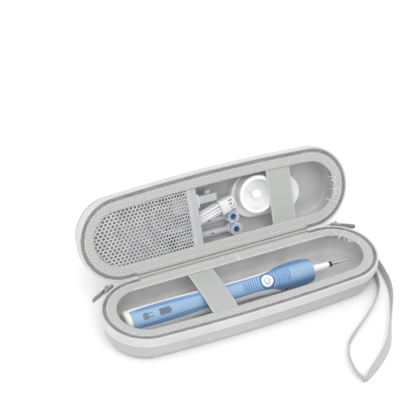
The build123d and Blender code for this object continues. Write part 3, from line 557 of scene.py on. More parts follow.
def small_bar(bm, length, width, height):
    """A bar with rounded corners, used for stitches and zip teeth; only a few faces."""
    made = bmesh.ops.create_cone(
        bm, cap_ends=True, segments=6, radius1=0.5, radius2=0.5, depth=1.0,
        matrix=Matrix.Rotation(math.pi / 2, 4, "Y"),
    )["verts"]
    bmesh.ops.scale(bm, vec=(length, width, height), verts=made)


def plan_spot(along, offset, z, turn=0.0):
    x, y, heading = plan_point(along, offset)
    return Matrix.Translation((x, y, z)) @ Matrix.Rotation(heading + turn, 4, "Z")


# %% [markdown]
# ## The moulded halves
# Each shell is a sheet of EVA foam with a polyurethane skin, heated and pressed into a mould. It keeps the
# CAD shape as it is, because the mould gives it an exact shape, and gets the pebbled skin.

# %% Shells
def dress(names, material):
    """Give CAD pieces that need no mesh of their own their material."""
    for name in names:
        paint(NODES[name], material)


dress(["base_shell", "lid_shell"], PEBBLED_SKIN)

# %% [markdown]
# ## The lining
# Brushed knit is laminated to the foam before moulding, so it follows the shell's inside exactly, down to
# the rounded corner at the floor. One swept section makes the wall and corner, and the floor closes it.

# %% Lining of both halves
LEAN = math.tan(math.radians(4.4))


def wall_offset(depth, z):
    """Offset of the moulded wall, at a depth into the wall and a height."""
    return -0.3 - depth - LEAN * (26.0 - z)


def lining_section(depth, radius, top):
    floor = depth
    middle = (wall_offset(depth, floor + radius) - radius, floor + radius)
    points = [(wall_offset(depth, z), z) for z in (top, top - 5, top - 10)]
    for step in range(9):
        angle = math.radians(90 * step / 8)
        out, drop = radius * math.cos(angle), radius * math.sin(angle)
        points.append((middle[0] + out, middle[1] - drop))
    return points + [(-16.0, floor), (-24.0, floor)]


for half in ("base", "lid"):
    bm = swept_rim(lining_section(2.45, 4.5, 24.3))
    low = [e for e in bm.edges if e.is_boundary and max(v.co.z for v in e.verts) < 3 * MM]
    bmesh.ops.holes_fill(bm, edges=low, sides=0)
    for vert in bm.verts:
        swell = math.sin(vert.co.x * 210) * math.sin(vert.co.y * 260 + 1.2)
        vert.co.z += 0.12 * MM * swell if vert.co.z < 3 * MM else 0
    lining = finished(bm, f"{half} lining cloth", LINING, PLACES[half], body=half)
    solid_strip(lining, 0.3 * MM)
    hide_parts(f"{half}_lining")
    print(lining.name, "faces", len(lining.data.polygons))

# %% [markdown]
# ## The rim band
# A coated strip is sewn round the rim of each half and turned over its top edge, where it shows as a thin
# pale piping next to the zip. It stops at both ends of the hinge panel. Nothing of it reaches past the
# fold line, because the two halves close against each other there.

# %% Rim bands
BAND_SECTION = [
    (-0.75, 17.55), (0.8, 17.5), (1.4, 17.75), (1.6, 18.5), (1.6, 21.5), (1.6, 24.3),
    (1.48, 25.0), (1.15, 25.45), (0.6, 25.6), (0.1, 25.5), (-0.25, 25.2), (-0.35, 24.6),
]
for half in ("base", "lid"):
    bm = swept_rim(BAND_SECTION, straight=6, start_x=HINGE_HALF)
    reach = HINGE_HALF + 0.1 * MM
    ends = [e for e in bm.edges if e.is_boundary and max(abs(v.co.x) for v in e.verts) < reach]
    clamp_hinge(bm)
    bmesh.ops.holes_fill(bm, edges=ends, sides=0)
    band = finished(bm, f"{half} rim band", RIM_BAND, PLACES[half], body=half)
    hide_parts(f"{half}_rim_band")

# %% [markdown]
# ## The zip
# The zip's tape is woven and lies flat round the opening, over ten millimetres wide, and hides the raw edge
# of the lining and the ends of the elastic. The zip itself is a coil of nylon wire sewn to the outer edge
# of the tape. A few hundred small bars stand for its turns.

# %% Zip tape and coil
TAPE_SECTION = [
    (-0.5, 24.78), (-1.6, 24.8), (-3.2, 24.86), (-4.6, 24.9),
    (-6.4, 24.9), (-8.2, 24.8), (-9.8, 24.72), (-10.95, 24.7),
]
ZIP_SPAN = along_zip(HINGE_HALF, END_RADIUS)
COIL_PITCH = 1.35 * MM
for half in ("base", "lid"):
    bm = swept_rim(TAPE_SECTION)
    strip_uv(bm, on_plan)
    for vert in bm.verts:
        along, out = on_plan(vert.co)
        loose = max(0.0, min(1.0, (-out / MM - 6.0) / 5.0))
        vert.co.z += loose * 0.12 * MM * (math.sin(along * 95) + math.sin(along * 41 + 2))
    tape = finished(bm, f"{half} zip tape cloth", ZIP_TAPE, PLACES[half], body=half)
    solid_strip(tape, 0.42 * MM)
    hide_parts(f"{half}_zip_tape")

    bm = bmesh.new()
    small_bar(bm, 2.3 * MM, 0.8 * MM, 0.6 * MM)
    count = int(2 * ZIP_SPAN / COIL_PITCH)
    spots = [
        plan_spot(-ZIP_SPAN + 2 * ZIP_SPAN * (i + 0.5) / count, -1.7 * MM, 25.5 * MM, math.pi / 2 + 0.25)
        for i in range(count)
    ]
    row_of(bm, geometry(bm), spots)
    coil = finished(
        bm, f"{half} zip coil turns", ZIP_TEETH, PLACES[half], body=half, merge=0
    )
    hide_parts(f"{half}_zip_coil")
    print(half, "zip turns", count)

# %% [markdown]
# ## Details that lie on a curved surface
# Ribs, grooves and printed signs follow the surface under them. Each is drawn as a line that is dropped
# onto the finished piece, and then given a round section. The same method places a weld bead or piping.

# %% Helpers for lines that lie on a surface
def surface_of(name):
    """A search tree of a CAD piece, in the shared frame."""
    bm = bmesh.new()
    bm.from_mesh(NODES[name].data)
    bmesh.ops.transform(bm, matrix=NODES[name].matrix_world, verts=bm.verts)
    tree = BVHTree.FromBMesh(bm)
    bm.free()
    return tree


def drop(tree, start, heading, lift=0.0):
    """The first place on the surface from start along heading, lifted back a little."""
    heading = heading.normalized()
    spot = tree.ray_cast(start, heading)[0]
    return None if spot is None else spot - heading * lift


def bead(name, lines, radius, material, body, sides=2, closed=False):
    """Round-section lines, made mesh."""
    data = bpy.data.curves.new(name, "CURVE")
    data.dimensions = "3D"
    data.bevel_depth = radius
    data.bevel_resolution = sides
    data.use_fill_caps = True
    for line in lines:
        line = [p for p in line if p is not None]
        if len(line) < 2:
            continue
        drawn_line = data.splines.new("POLY")
        drawn_line.points.add(len(line) - 1)
        drawn_line.use_cyclic_u = closed
        for spot, point in zip(drawn_line.points, line):
            spot.co = (*point, 1.0)
    source = new_object(name + " line", data)
    bpy.context.view_layer.update()
    graph = bpy.context.evaluated_depsgraph_get()
    shape = bpy.data.meshes.new_from_object(source.evaluated_get(graph))
    bpy.data.objects.remove(source)
    obj = new_object(name, shape)
    for polygon in shape.polygons:
        polygon.use_smooth = True
    paint(obj, material)
    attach(obj, body)
    return obj


# %% [markdown]
# ## Stitches
# A lockstitch shows as a row of short thread bars with small gaps. One row holds the coil to the tape, and
# one, on the outside, holds the rim band to the shell.

# %% Stitch rows of the coil and the band
def stitch_row(name, half, start, stop, offset, z, length, pitch, turn=0.0):
    bm = bmesh.new()
    small_bar(bm, length, 0.32 * MM, 0.26 * MM)
    count = int((stop - start) / pitch)
    spots = [plan_spot(start + (i + 0.5) * pitch, offset, z, turn) for i in range(count)]
    row_of(bm, geometry(bm), [s for s in spots if s.translation.y < FOLD_Y - CLEAR_OF_FOLD])
    return finished(bm, name, STITCH, PLACES[half], body=half, merge=0)


for half in ("base", "lid"):
    stitch_row(f"{half} coil seam", half, -ZIP_HALF, ZIP_HALF, -3.9 * MM, 25.12 * MM, 1.9 * MM, 2.6 * MM)
    stitch_row(f"{half} band seam", half, -ZIP_SPAN, ZIP_SPAN, 1.58 * MM, 18.9 * MM, 1.9 * MM, 2.6 * MM)

# %% [markdown]
# On the hinge side the tape's free edge has a chain stitch, whose loops slant to both sides. Where the two
# ends of the tape overlap, a bar tack crosses it. A few threads stand loose at the right-hand ends, as
# they do where cloth is cut by hand.

# %% Chain stitch, bar tack and loose threads
CHAIN_SLANT = 0.55
BACK_START = along_zip(END_CENTRE * 1.02, END_RADIUS * 0.998)
for sign, slant in ((1, CHAIN_SLANT), (-1, CHAIN_SLANT), (1, -CHAIN_SLANT), (-1, -CHAIN_SLANT)):
    first, last = sorted((sign * BACK_START, sign * ZIP_HALF))
    name = f"base chain stitch {sign} {slant}".replace("-", "n").replace(".", "_")
    stitch_row(name, "base", first, last, -10.0 * MM, 25.0 * MM, 1.7 * MM, 2.2 * MM, slant)

bm = bmesh.new()
small_bar(bm, 0.42 * MM, 9.6 * MM, 0.3 * MM)
row_of(bm, geometry(bm), [Matrix.Translation((x * MM, 27.4 * MM, 25.1 * MM)) for x in (7.0, 8.2)])
finished(bm, "tape bar tack", STITCH, body="base", merge=0)


def loose_threads(name, half, spots, seed):
    """Short curling threads, each a few points that wander up from the tape."""
    chance = random.Random(seed)
    lines = []
    for along, offset in spots:
        x, y, heading = plan_point(along * MM, offset * MM)
        point = Vector((x, y, 25.05 * MM))
        line = [point.copy()]
        course = heading + chance.uniform(-1.6, 1.6)
        for step in range(7):
            course += chance.uniform(-0.5, 0.5)
            rise = 0.16 if step < 4 else -0.12
            point = point + Vector((math.cos(course) * 0.8, math.sin(course) * 0.8, rise)) * MM
            line.append(PLACES[half] @ point)
        line[0] = PLACES[half] @ line[0]
        lines.append(line)
    return bead(name, lines, 0.19 * MM, STITCH, half)


RIGHT_END = along_zip(END_CENTRE + END_RADIUS, 0) / MM
TAPE_EDGE = -10.0
base_spots = [(RIGHT_END + d, TAPE_EDGE) for d in range(4, 36, 2)]
lid_spots = [(d - RIGHT_END, TAPE_EDGE) for d in range(-26, 10, 2)]
loose_threads("base loose threads", "base", base_spots, 3)
loose_threads("lid loose threads", "lid", lid_spots, 5)
print("loose threads", len(base_spots), "and", len(lid_spots))

# %% [markdown]
# ## The hinge cloth
# One piece of cloth joins the halves. It is glued to both back walls in the band's place and folds
# between them. The cloth is drawn in its place with the lid open.

# %% Hinge cloth
HINGE_WIDTH = 151.6
HINGE_STEPS = 76


def hinge_run():
    """The cloth's section, base to lid, as (y, z) in metres with the lid open."""
    run = [Vector((0, 33.45, z)) * MM for z in (17.7, 20.2, 22.7, 24.6)]
    run.append(Vector((0, 33.75, 25.55)) * MM)
    over = [(-33.75, 25.55), (-33.45, 24.6), (-33.45, 22.7), (-33.45, 20.2), (-33.45, 17.7)]
    return run + [in_lid(0, y, z) for y, z in over]


def hinge_cloth():
    bm = bmesh.new()
    run = hinge_run()
    chain = edge_chain(bm, [p / MM + Vector((-HINGE_WIDTH / 2, 0, 0)) for p in run])
    grow(bm, chain, HINGE_STEPS, (HINGE_WIDTH * MM / HINGE_STEPS, 0, 0))
    strip_uv(bm, lambda p: (p.x, p.y * 0.5 + p.z))
    return finished(bm, "hinge cloth", HINGE_CLOTH)


HINGE_SHEET = hinge_cloth()
solid_strip(HINGE_SHEET, 0.4 * MM)
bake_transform(HINGE_SHEET)
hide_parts("base_hinge_panel", "lid_hinge_panel")

# %% [markdown]
# ## The elastic straps
# Flat woven elastic, a little under its free length, is sewn under the tape on both sides. The base strap
# bows up over the toothbrush that it holds. The lid strap lies nearly flat over the charger.

# %% Elastic straps
ELASTIC_WIDTH = 21.2
ELASTIC_HEIGHT = 23.65


def elastic_strap(name, x, front, back, rise, body, place):
    bm = bmesh.new()
    half_width = ELASTIC_WIDTH / 2
    steps = 40
    xs = [x - half_width + 2 * half_width * i / 10 for i in range(11)]
    chain = edge_chain(bm, [(along, front, ELASTIC_HEIGHT) for along in xs])
    grow(bm, chain, steps, (0, (back - front) * MM / steps, 0))
    for vert in bm.verts:
        t = (vert.co.y / MM - front) / (back - front)
        side = abs(vert.co.x / MM - x) / half_width
        vert.co.z += MM * rise * 4 * t * (1 - t) + 0.12 * MM * (side**4) * math.sin(9 * t)
    strip_uv(bm, lambda p: (p.y, p.x - x * MM))
    strap = finished(bm, name, ELASTIC_BAND, place, body=body)
    solid_strip(strap, 0.75 * MM)
    return strap


BASE_STRAP = elastic_strap("base elastic", -27.6, -27.2, 24.7, 1.4, "base", None)
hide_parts("base_elastic_strap")
LID_STRAP = elastic_strap("lid elastic", 57.4, -24.8, 26.3, 0.3, "lid", LID_PLACE)
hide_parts("lid_elastic_strap")
print("elastic", ELASTIC_WIDTH, "mm wide")

# %% [markdown]
# ## The net pocket
# The left half of the lid is covered by a warp-knitted net, sewn under the tape on three sides and bound
# with a band on the fourth. Its holes are real here: hexagons are laid in rows, each is inset to leave
# the yarn, and the middle is taken out. The holes draw tighter towards the band. The yarn is 1.1 mm wide
# and 0.42 mm thick, which keeps the cloth's area in range of the flat piece that it was cut from.

# %% Net
NET_EDGE_X = -24.6
NET_LENGTH = 85.0
NET_PITCH = 3.1
NET_HEIGHT = 23.75
NET_CUT_IN = 8.9
YARN_WIDTH = 1.12
YARN_THICKNESS = 0.42


def drawn(u):
    """The net is stretched less near the band, so its holes are narrower there."""
    return u * (0.74 + 0.26 * u)


def net_mesh():
    bm = bmesh.new()
    radius = NET_PITCH * MM / math.sqrt(3)
    bmesh.ops.create_circle(bm, cap_ends=True, segments=6, radius=radius)
    rows, columns = 22, 34
    spots = []
    for row in range(-rows, rows + 1):
        for column in range(columns):
            x = (column + 0.5 * (row % 2)) * NET_PITCH
            y = row * NET_PITCH * math.sqrt(3) / 2
            share = drawn(min(x / NET_LENGTH, 1.3))
            place_x, place_y = NET_EDGE_X - share * NET_LENGTH, y
            if zip_offset(place_x * MM, -place_y * MM) < -NET_CUT_IN * MM and place_x > -110:
                spots.append(Matrix.Translation((x * MM, y * MM, 0)))
    row_of(bm, geometry(bm), spots)
    bmesh.ops.remove_doubles(bm, verts=bm.verts, dist=0.05 * MM)
    bmesh.ops.inset_individual(bm, faces=list(bm.faces), thickness=YARN_WIDTH / 2 * MM)
    holes = [f for f in bm.faces if len(f.verts) == 6]
    bmesh.ops.delete(bm, geom=holes, context="FACES_ONLY")
    for vert in bm.verts:
        u = vert.co.x / MM / NET_LENGTH
        x, y = NET_EDGE_X - drawn(u) * NET_LENGTH, vert.co.y / MM
        across = 1 - (y / 27.0) ** 2
        swell = 1.1 * max(0.0, across) * math.sin(math.pi * min(1.0, max(0.0, u)))
        ripple_z = 0.25 * math.sin(x * 0.31 + y * 0.12) * max(0.0, across)
        vert.co = Vector((x, y, NET_HEIGHT + swell + ripple_z)) * MM
    print("net faces", len(bm.faces), "spots", len(spots))
    return bm


NET_CLOTH = moulded("warp_knitted_net", "#cbcbcc", "#b4b4b6", 0.6)
NET = finished(net_mesh(), "pocket net", NET_CLOTH, LID_PLACE, smooth=False, body="lid")
solid_strip(NET, YARN_THICKNESS * MM)
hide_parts("mesh_pocket")

# %% [markdown]
# ## The pocket's band
# The open edge of the net is bound with a flat woven band, which keeps the pocket taut. A zigzag seam
# joins it to the net on its left side.

# %% Pocket band and its seam
BINDING_LENGTH = 50.6
BINDING_STEPS = 30
bm = bmesh.new()
band_xs = (-25.0, -24.7, -22.0, -19.0, -16.8, -16.5)
band_zs = (23.5, 23.75, 23.8, 23.8, 23.75, 23.5)
chain = edge_chain(bm, [(x, -24.6, z) for x, z in zip(band_xs, band_zs)])
grow(bm, chain, BINDING_STEPS, (0, BINDING_LENGTH * MM / BINDING_STEPS, 0))
for vert in bm.verts:
    vert.co.z += 0.5 * MM * (1 - (vert.co.y / (27 * MM)) ** 2)
strip_uv(bm, lambda p: (p.y, p.x + 20.75 * MM))
BAND = finished(bm, "pocket edge binding", WEBBING, LID_PLACE, body="lid")
solid_strip(BAND, 0.6 * MM)
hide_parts("pocket_edge_band")

bm = bmesh.new()
small_bar(bm, 2.3 * MM, 0.34 * MM, 0.26 * MM)
spots = []
for i in range(36):
    y = -24.0 + 1.38 * i
    z = 23.8 + 0.5 * (1 - (y / 27) ** 2) + 0.42
    lean = math.radians(62 if i % 2 else -62)
    place = Matrix.Translation(Vector((-22.9, y, z)) * MM)
    spots.append(place @ Matrix.Rotation(lean + math.pi / 2, 4, "Z"))
row_of(bm, geometry(bm), spots)
finished(bm, "pocket zigzag seam", STITCH, LID_PLACE, body="lid", merge=0)

# %% [markdown]
# ## The wrist strap
# A flat woven ribbon is gripped at both ends by a metal clasp and sewn to a point at the far end of its
# loop. It stands on edge on the table, as a stiff ribbon does when its loop is opened. One spline is its
# centreline, and the ribbon is extruded along it, leaning out a little where it has room.

# %% Centreline of the wrist strap
def spline(name, points, order=3, resolution=8):
    """A NURBS curve through the control points, in metres."""
    data = bpy.data.curves.new(name, "CURVE")
    data.dimensions = "3D"
    data.resolution_u = resolution
    line = data.splines.new("NURBS")
    line.points.add(len(points) - 1)
    for spot, point in zip(line.points, points):
        spot.co = (*point, 1.0)
    line.order_u = order
    line.use_endpoint_u = True
    return new_object(name, data)


def spline_points(obj):
    """The points that Blender reads from the spline, in order."""
    bpy.context.view_layer.update()
    graph = bpy.context.evaluated_depsgraph_get()
    data = bpy.data.meshes.new_from_object(obj.evaluated_get(graph))
    points = [v.co.copy() for v in data.vertices]
    bpy.data.meshes.remove(data)
    return points


def run_length(points):
    return sum((b - a).length for a, b in zip(points, points[1:]))


STRAP_ROUTE = [
    (113.2, 32.95), (115.6, 32.95), (117.6, 27.5), (118.8, 17.5), (118.8, 7.5), (117.9, -2.5),
    (116.4, -11.6), (115.2, -17.2), (112.0, -26.0), (107.7, -33.5), (100.8, -41.1), (91.7, -48.9),
    (81.7, -56.1), (71.8, -63.2), (61.4, -70.4), (55.1, -75.6), (50.1, -83.0), (46.9, -91.1),
    (45.4, -99.7), (44.7, -108.0), (45.4, -112.8), (46.0, -114.2), (47.6, -113.5), (50.0, -112.4),
    (53.6, -110.1), (62.4, -104.7), (71.9, -98.2), (81.4, -90.4), (87.6, -83.3), (94.0, -73.8),
    (100.6, -64.1), (107.2, -54.2), (112.4, -46.0), (117.0, -37.4), (120.8, -27.0), (122.9, -17.1),
    (124.4, -6.4), (125.4, 4.0), (125.7, 14.5), (124.4, 24.5), (120.8, 31.6), (116.2, 34.75),
    (113.2, 34.75),
]
STRAP_Z = 4.0 * MM
strap_line = spline("wrist strap line", [(x * MM, y * MM, STRAP_Z) for x, y in STRAP_ROUTE])
STRAP_PATH = spline_points(strap_line)
bpy.data.objects.remove(strap_line)
print("wrist strap", round(run_length(STRAP_PATH) / MM, 1), "mm along", len(STRAP_PATH), "points")

# %% Ribbon along the line
def leaning(heading, share):
    """Direction across the ribbon: upright, with a lean that comes and goes along it."""
    level = heading.cross(Vector((0, 0, 1))).normalized()
    lean = 0.5 * math.sin(math.pi * share) ** 2 * math.sin(5.2 * math.pi * share + 0.6)
    return (Vector((0, 0, 1)) * math.cos(lean) + level * math.sin(lean)).normalized()


def ribbon(name, path, width, thickness, material, columns=4):
    bm = bmesh.new()
    half = width / 2
    last = len(path) - 1
    heads = [(path[min(i + 1, last)] - path[max(i - 1, 0)]).normalized() for i in range(last + 1)]
    sides = [leaning(h, i / last) for i, h in enumerate(heads)]
    first = [(path[0] + sides[0] * half * (2 * c / columns - 1)) / MM for c in range(columns + 1)]
    chain = edge_chain(bm, first)
    order = list(bm.verts)
    measured = {v: (0.0, half * (2 * c / columns - 1)) for c, v in enumerate(order)}
    travelled = 0.0
    for i in range(1, len(path)):
        travelled += (path[i] - path[i - 1]).length
        made = bmesh.ops.extrude_edge_only(bm, edges=chain)["geom"]
        chain = [g for g in made if isinstance(g, bmesh.types.BMEdge)]
        verts = [g for g in made if isinstance(g, bmesh.types.BMVert)]
        old = path[i - 1]
        for vert in verts:
            across = (vert.co - old).dot(sides[i - 1])
            vert.co = path[i] + sides[i] * across
            measured[vert] = (travelled, across)
    layer = bm.loops.layers.uv.new("strip")
    for face in bm.faces:
        for loop in face.loops:
            along, across = measured[loop.vert]
            loop[layer].uv = (along / MM, across / MM)
    obj = finished(bm, name, material, merge=0)
    solid_strip(obj, thickness)
    return obj


STRAP = ribbon("wrist strap ribbon", STRAP_PATH, 8.0 * MM, 0.85 * MM, WEBBING)
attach(STRAP, "base")
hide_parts("wrist_strap")

# %% [markdown]
# ## Loop, ring and clasp
# A short piece of webbing is folded round a wire link and sewn under the end of the hinge cloth. The
# clasp hangs from the link and grips both ends of the ribbon. A small white label tab stands above the
# loop, behind the back wall.

# %% Webbing loop and label tab
LOOP_Y = 33.85
LOOP_GAP = 1.1
LOOP_WIDTH = 7.2
LOOP_STEPS = 6
bm = bmesh.new()
near, far = LOOP_Y - LOOP_GAP, LOOP_Y + LOOP_GAP
turns = [math.pi * k / 8 for k in range(1, 8)]
loop_run = [(76.2, near), (88.0, near), (99.9, near)]
loop_run += [(100.0 + LOOP_GAP * math.sin(a), LOOP_Y - LOOP_GAP * math.cos(a)) for a in turns]
loop_run += [(99.9, far), (88.0, far), (76.2, far)]
chain = edge_chain(bm, [(x, y, 8.4) for x, y in loop_run])
grow(bm, chain, LOOP_STEPS, (0, 0, LOOP_WIDTH * MM / LOOP_STEPS))
strip_uv(bm, lambda p: (p.x, p.z - 12 * MM))
LOOP = finished(bm, "strap loop webbing", WEBBING, body="base")
solid_strip(LOOP, 0.6 * MM)
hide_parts("strap_loop")

bm = bmesh.new()
bmesh.ops.create_cube(bm, size=1.0)
bmesh.ops.scale(bm, vec=(11 * MM, 0.4 * MM, 7.4 * MM), verts=bm.verts)
bmesh.ops.translate(bm, verts=bm.verts, vec=(93.5 * MM, 33.95 * MM, 22.6 * MM))
bmesh.ops.bevel(
    bm, geom=geometry(bm), offset=0.15 * MM, segments=2, profile=0.5, affect="EDGES", material=-1
)
TAB_CLOTH = moulded("white_satin_label", "#f0f0ef", "#e6e6e5", 0.5)
finished(bm, "label tab", TAB_CLOTH, body="base")
dress(["strap_ring", "strap_clasp"], BRIGHT_STEEL)
dress(["left_zip_slider", "right_zip_slider", "left_zip_pull", "right_zip_pull"], DARK_STEEL)

# %% [markdown]
# ## The charger and its cord
# The charger is a low moulded base with a cup, in which the handle stands on a post. Its cord is about
# 0.7 m long here. It leaves the charger through a short sleeve, goes into a hank wound in long ovals, and
# leaves the hank again for the plug. The whole cord is one spline.

# %% Charger and plug materials
dress(["charger_body", "charger_post", "charger_cover"], WHITE_ABS)
dress(["charger_coil"], COPPER)
dress(["cord_relief", "plug_sleeve"], CORD_PVC)
dress(["plug_body"], PLUG_WHITE)
dress(["plug_blades"], BRIGHT_STEEL)

# %% [markdown]
# ### Route of the cord
# The hank has four layers. Each layer holds two ovals, one inside the other. The strands draw together at
# the lower left end and fan out towards the cup, as they do when a tie is wrapped on one side only.

# %% Cord route in the lid's own frame
random.seed(7)
HANK_MIDDLE = Vector((-2.4, -0.4, 17.9))
HANK_TURN = Matrix.Rotation(math.radians(14), 4, "Z")
HANK_PLACE = Matrix.Translation(HANK_MIDDLE) @ HANK_TURN
CORD_LEAD = [(11.2, 1.3, 7.55), (7.6, 1.3, 7.55), (4.0, 1.3, 8.75), (2.2, 1.3, 11.15), (2.6, 1.2, 12.9)]
CORD_TAIL = [
    (-32.7, -8.0, 17.9), (-40.8, -8.6, 17.2), (-48.6, -4.8, 15.6), (-52.8, 1.4, 14.0), (-52.2, 8.0, 12.4),
    (-48.2, 12.0, 11.4), (-45.0, 12.0, 11.4), (-43.0, 12.0, 11.4),
]


def fan(u):
    """How far the strands spread across, from the left end of the hank to the right."""
    return 0.93 + 0.42 * max(0.0, u / 20.0) ** 2 + 0.06 * u / 20.0


def hank_route():
    route = []
    layers = (-3.5, -1.17, 1.17, 3.5)
    for number, w in enumerate(layers):
        widths = (3.75, 1.3) if number % 2 == 0 else (1.3, 3.75)
        for width in widths:
            ends = (21.4 if width > 2 else 19.6) + random.uniform(-1.8, 0.6)
            last = number == 3 and width == widths[-1]
            oval = [
                (ends - 1.5, width), (8, width), (-6, width), (1.5 - ends, width),
                (-ends, 0.55 * width), (-ends, -0.55 * width),
                (1.5 - ends, -width), (-6, -width), (8, -width), (ends - 1.5, -width),
                (ends, -0.55 * width), (ends, 0.55 * width),
            ]
            for u, v in oval[: 5 if last else 12]:
                sway = random.uniform(-0.24, 0.24)
                route.append(HANK_PLACE @ Vector((u, v * fan(u) + sway, w + sway * 0.6)))
    return route


cord_points = [Vector(p) for p in CORD_LEAD] + hank_route() + [Vector(p) for p in CORD_TAIL]
CORD = spline("charger cord", [in_lid(*p) for p in cord_points], resolution=6)
CORD_LINE = spline_points(CORD)
CORD.data.bevel_depth = 1.1 * MM
CORD.data.bevel_resolution = 3
paint(CORD, CORD_PVC)
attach(CORD, "lid")
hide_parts("cord_lead", "cord_hank", "cord_tail")

# %% [markdown]
# ### Tie round the hank
# A soft strip is wrapped once round the hank and pressed onto itself, so it is a flat ring eight
# millimetres wide.

# %% Tie
bm = bmesh.new()
bmesh.ops.create_circle(bm, segments=40, radius=1.0, matrix=Matrix.Rotation(math.pi / 2, 4, "Y"))
for vert in bm.verts:
    angle = math.atan2(vert.co.z, vert.co.y)
    across, tall = math.cos(angle), math.sin(angle)
    flat = (abs(across) ** 4 + abs(tall) ** 4) ** -0.25
    vert.co = Vector((6.2, 5.9 * across * flat, 5.1 * tall * flat)) * MM
grow(bm, list(bm.edges), 8, (1.0 * MM, 0, 0))
tie_place = LID_PLACE @ Matrix.Translation(HANK_MIDDLE * MM) @ HANK_TURN
TIE = finished(bm, "hank tie", TIE_WHITE, tie_place, body="lid")
solid_strip(TIE, 0.6 * MM)
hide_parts("cord_tie")

# %% [markdown]
# ## The toothbrush handle
# The handle is a hard white tube with a soft blue panel moulded over its front. The panel has fine ribs
# on both sides of the button for the thumb, and a groove near each long edge. The handle lies rolled a
# little to the front, so the lines are drawn in its own frame and turned with it.

# %% Handle materials
dress(["handle_shell", "power_button", "neck_collar"], WHITE_ABS)
dress(["handle_grip"], BLUE_GRIP)
dress(["handle_end_cap"], CREAM)
dress(["indicator_windows"], WINDOW_GREY)
dress(["pressure_light"], RED_LENS)
dress(["button_ring"], RING_BLUE)
dress(["shaft_seal"], SEAL_RUBBER)
dress(["drive_shaft"], BRIGHT_STEEL)
dress(["motor"], MOTOR_CAN)
dress(["battery_cell"], CELL_SLEEVE)
dress(["circuit_board"], BOARD_GREEN)
dress(["inner_frame"], FRAME_GREY)
dress(["charging_coil"], COPPER)

# %% Ribs, grooves and the sign on the button
BRUSH_PLACE = Matrix.Translation(HANDLE_AXIS) @ Matrix.Rotation(ROLL, 4, "X")
DOWN = (BRUSH_PLACE.to_3x3() @ Vector((0, 0, -1))).normalized()
GRIP_SURFACE = surface_of("handle_grip")
BUTTON_X = 18.6


def on_grip(x, y, lift=0.0):
    start = BRUSH_PLACE @ (Vector((x, y, 20)) * MM)
    return drop(GRIP_SURFACE, start, DOWN, lift * MM)


def rib(radius, side, reach):
    """One curved rib, a part of a circle round the button."""
    widest = math.asin(min(1.0, reach / radius))
    turns = [widest * (2 * i / 16 - 1) for i in range(17)]
    return [
        on_grip(BUTTON_X + side * radius * math.cos(t), radius * math.sin(t), 0.02) for t in turns
    ]


RIB_PITCH = 1.9
left_ribs = [rib(7.6 + RIB_PITCH * i, -1, 4.9 - 0.22 * i) for i in range(8)]
right_ribs = [rib(7.4 + RIB_PITCH * i, 1, 5.6 - 0.1 * i) for i in range(8)]
# Painted highlight: the ribs are a paler blue than the panel, for the light on their crests.
RIB_HIGHLIGHT_RUBBER = moulded("rib_painted_highlight_rubber", "#a9cbec", "#9abfe4", 0.4)
# Painted shade: the rib valleys and the grip grooves are beads of a darker blue, for the shade in them.
GROOVE_SHADE_RUBBER = moulded("groove_shadow_rubber", "#4f80b8", "#4474ad", 0.5)
bead("grip ribs", left_ribs + right_ribs, 0.42 * MM, RIB_HIGHLIGHT_RUBBER, "base")
valleys = [rib(8.55 + RIB_PITCH * i, -1, 4.6 - 0.22 * i) for i in range(7)]
valleys += [rib(8.35 + RIB_PITCH * i, 1, 5.3 - 0.1 * i) for i in range(7)]
bead("rib valleys", valleys, 0.26 * MM, GROOVE_SHADE_RUBBER, "base")


GRIP_TAIL = -97.6
GRIP_SHOULDER = 60.7


def grip_half(x):
    """Half width of the panel, narrower at the waist."""
    t = (x - GRIP_TAIL) / (GRIP_SHOULDER - GRIP_TAIL)
    return 7.1 - 1.0 * math.sin(math.pi * min(1.0, t / 0.75)) ** 2


grooves = []
for side in (-1, 1):
    xs = [-92 + 2.0 * i for i in range(62)]
    grooves.append([on_grip(x, side * (grip_half(x) - 1.2), -0.03) for x in xs])
bead("grip grooves", grooves, 0.3 * MM, GROOVE_SHADE_RUBBER, "base")
print("ribs", len(left_ribs + right_ribs), "valleys", len(valleys))

BUTTON_SURFACE = surface_of("power_button")


def on_button(x, y, lift=0.02):
    start = BRUSH_PLACE @ (Vector((BUTTON_X + x, y, 20)) * MM)
    return drop(BUTTON_SURFACE, start, DOWN, lift * MM)


arc = [math.radians(35 + 290 * i / 30) for i in range(31)]
sign_arc = [on_button(2.2 * math.cos(a), 2.2 * math.sin(a)) for a in arc]
sign = [sign_arc, [on_button(0.6, 0), on_button(3.0, 0)]]
SIGN_INK = moulded("grey_blue_print", "#6d97c8", "#5f89bb", 0.4)
bead("power sign", sign, 0.3 * MM, SIGN_INK, "button")

# %% [markdown]
# ## The brush heads
# Each spare head is a clear stem with a coloured ring at its foot and a round disc that turns. The disc
# carries nylon tufts in rings; the middle ones are blue and wear paler with use. Every tuft is a slim
# cone of a few faces, a little wider where the filaments spread at the tip.

# %% Stems, discs and tufts
HEADS = {1: (15.7, -9.2), 2: (17.0, -20.2)}
TUFT_RINGS = [(0.0, 1), (1.5, 6), (2.85, 11), (4.1, 17)]
TUFT_ROOT = 10.5
WHITE_TIP = 17.0
BLUE_TIP = 16.3
dress(["head_1_stem", "head_2_stem"], SILICONE_STEM)
dress(["head_1_disc", "head_2_disc"], WHITE_ABS)
dress(["head_1_colour_ring"], PINK_RING)
dress(["head_2_colour_ring"], TEAL_RING)


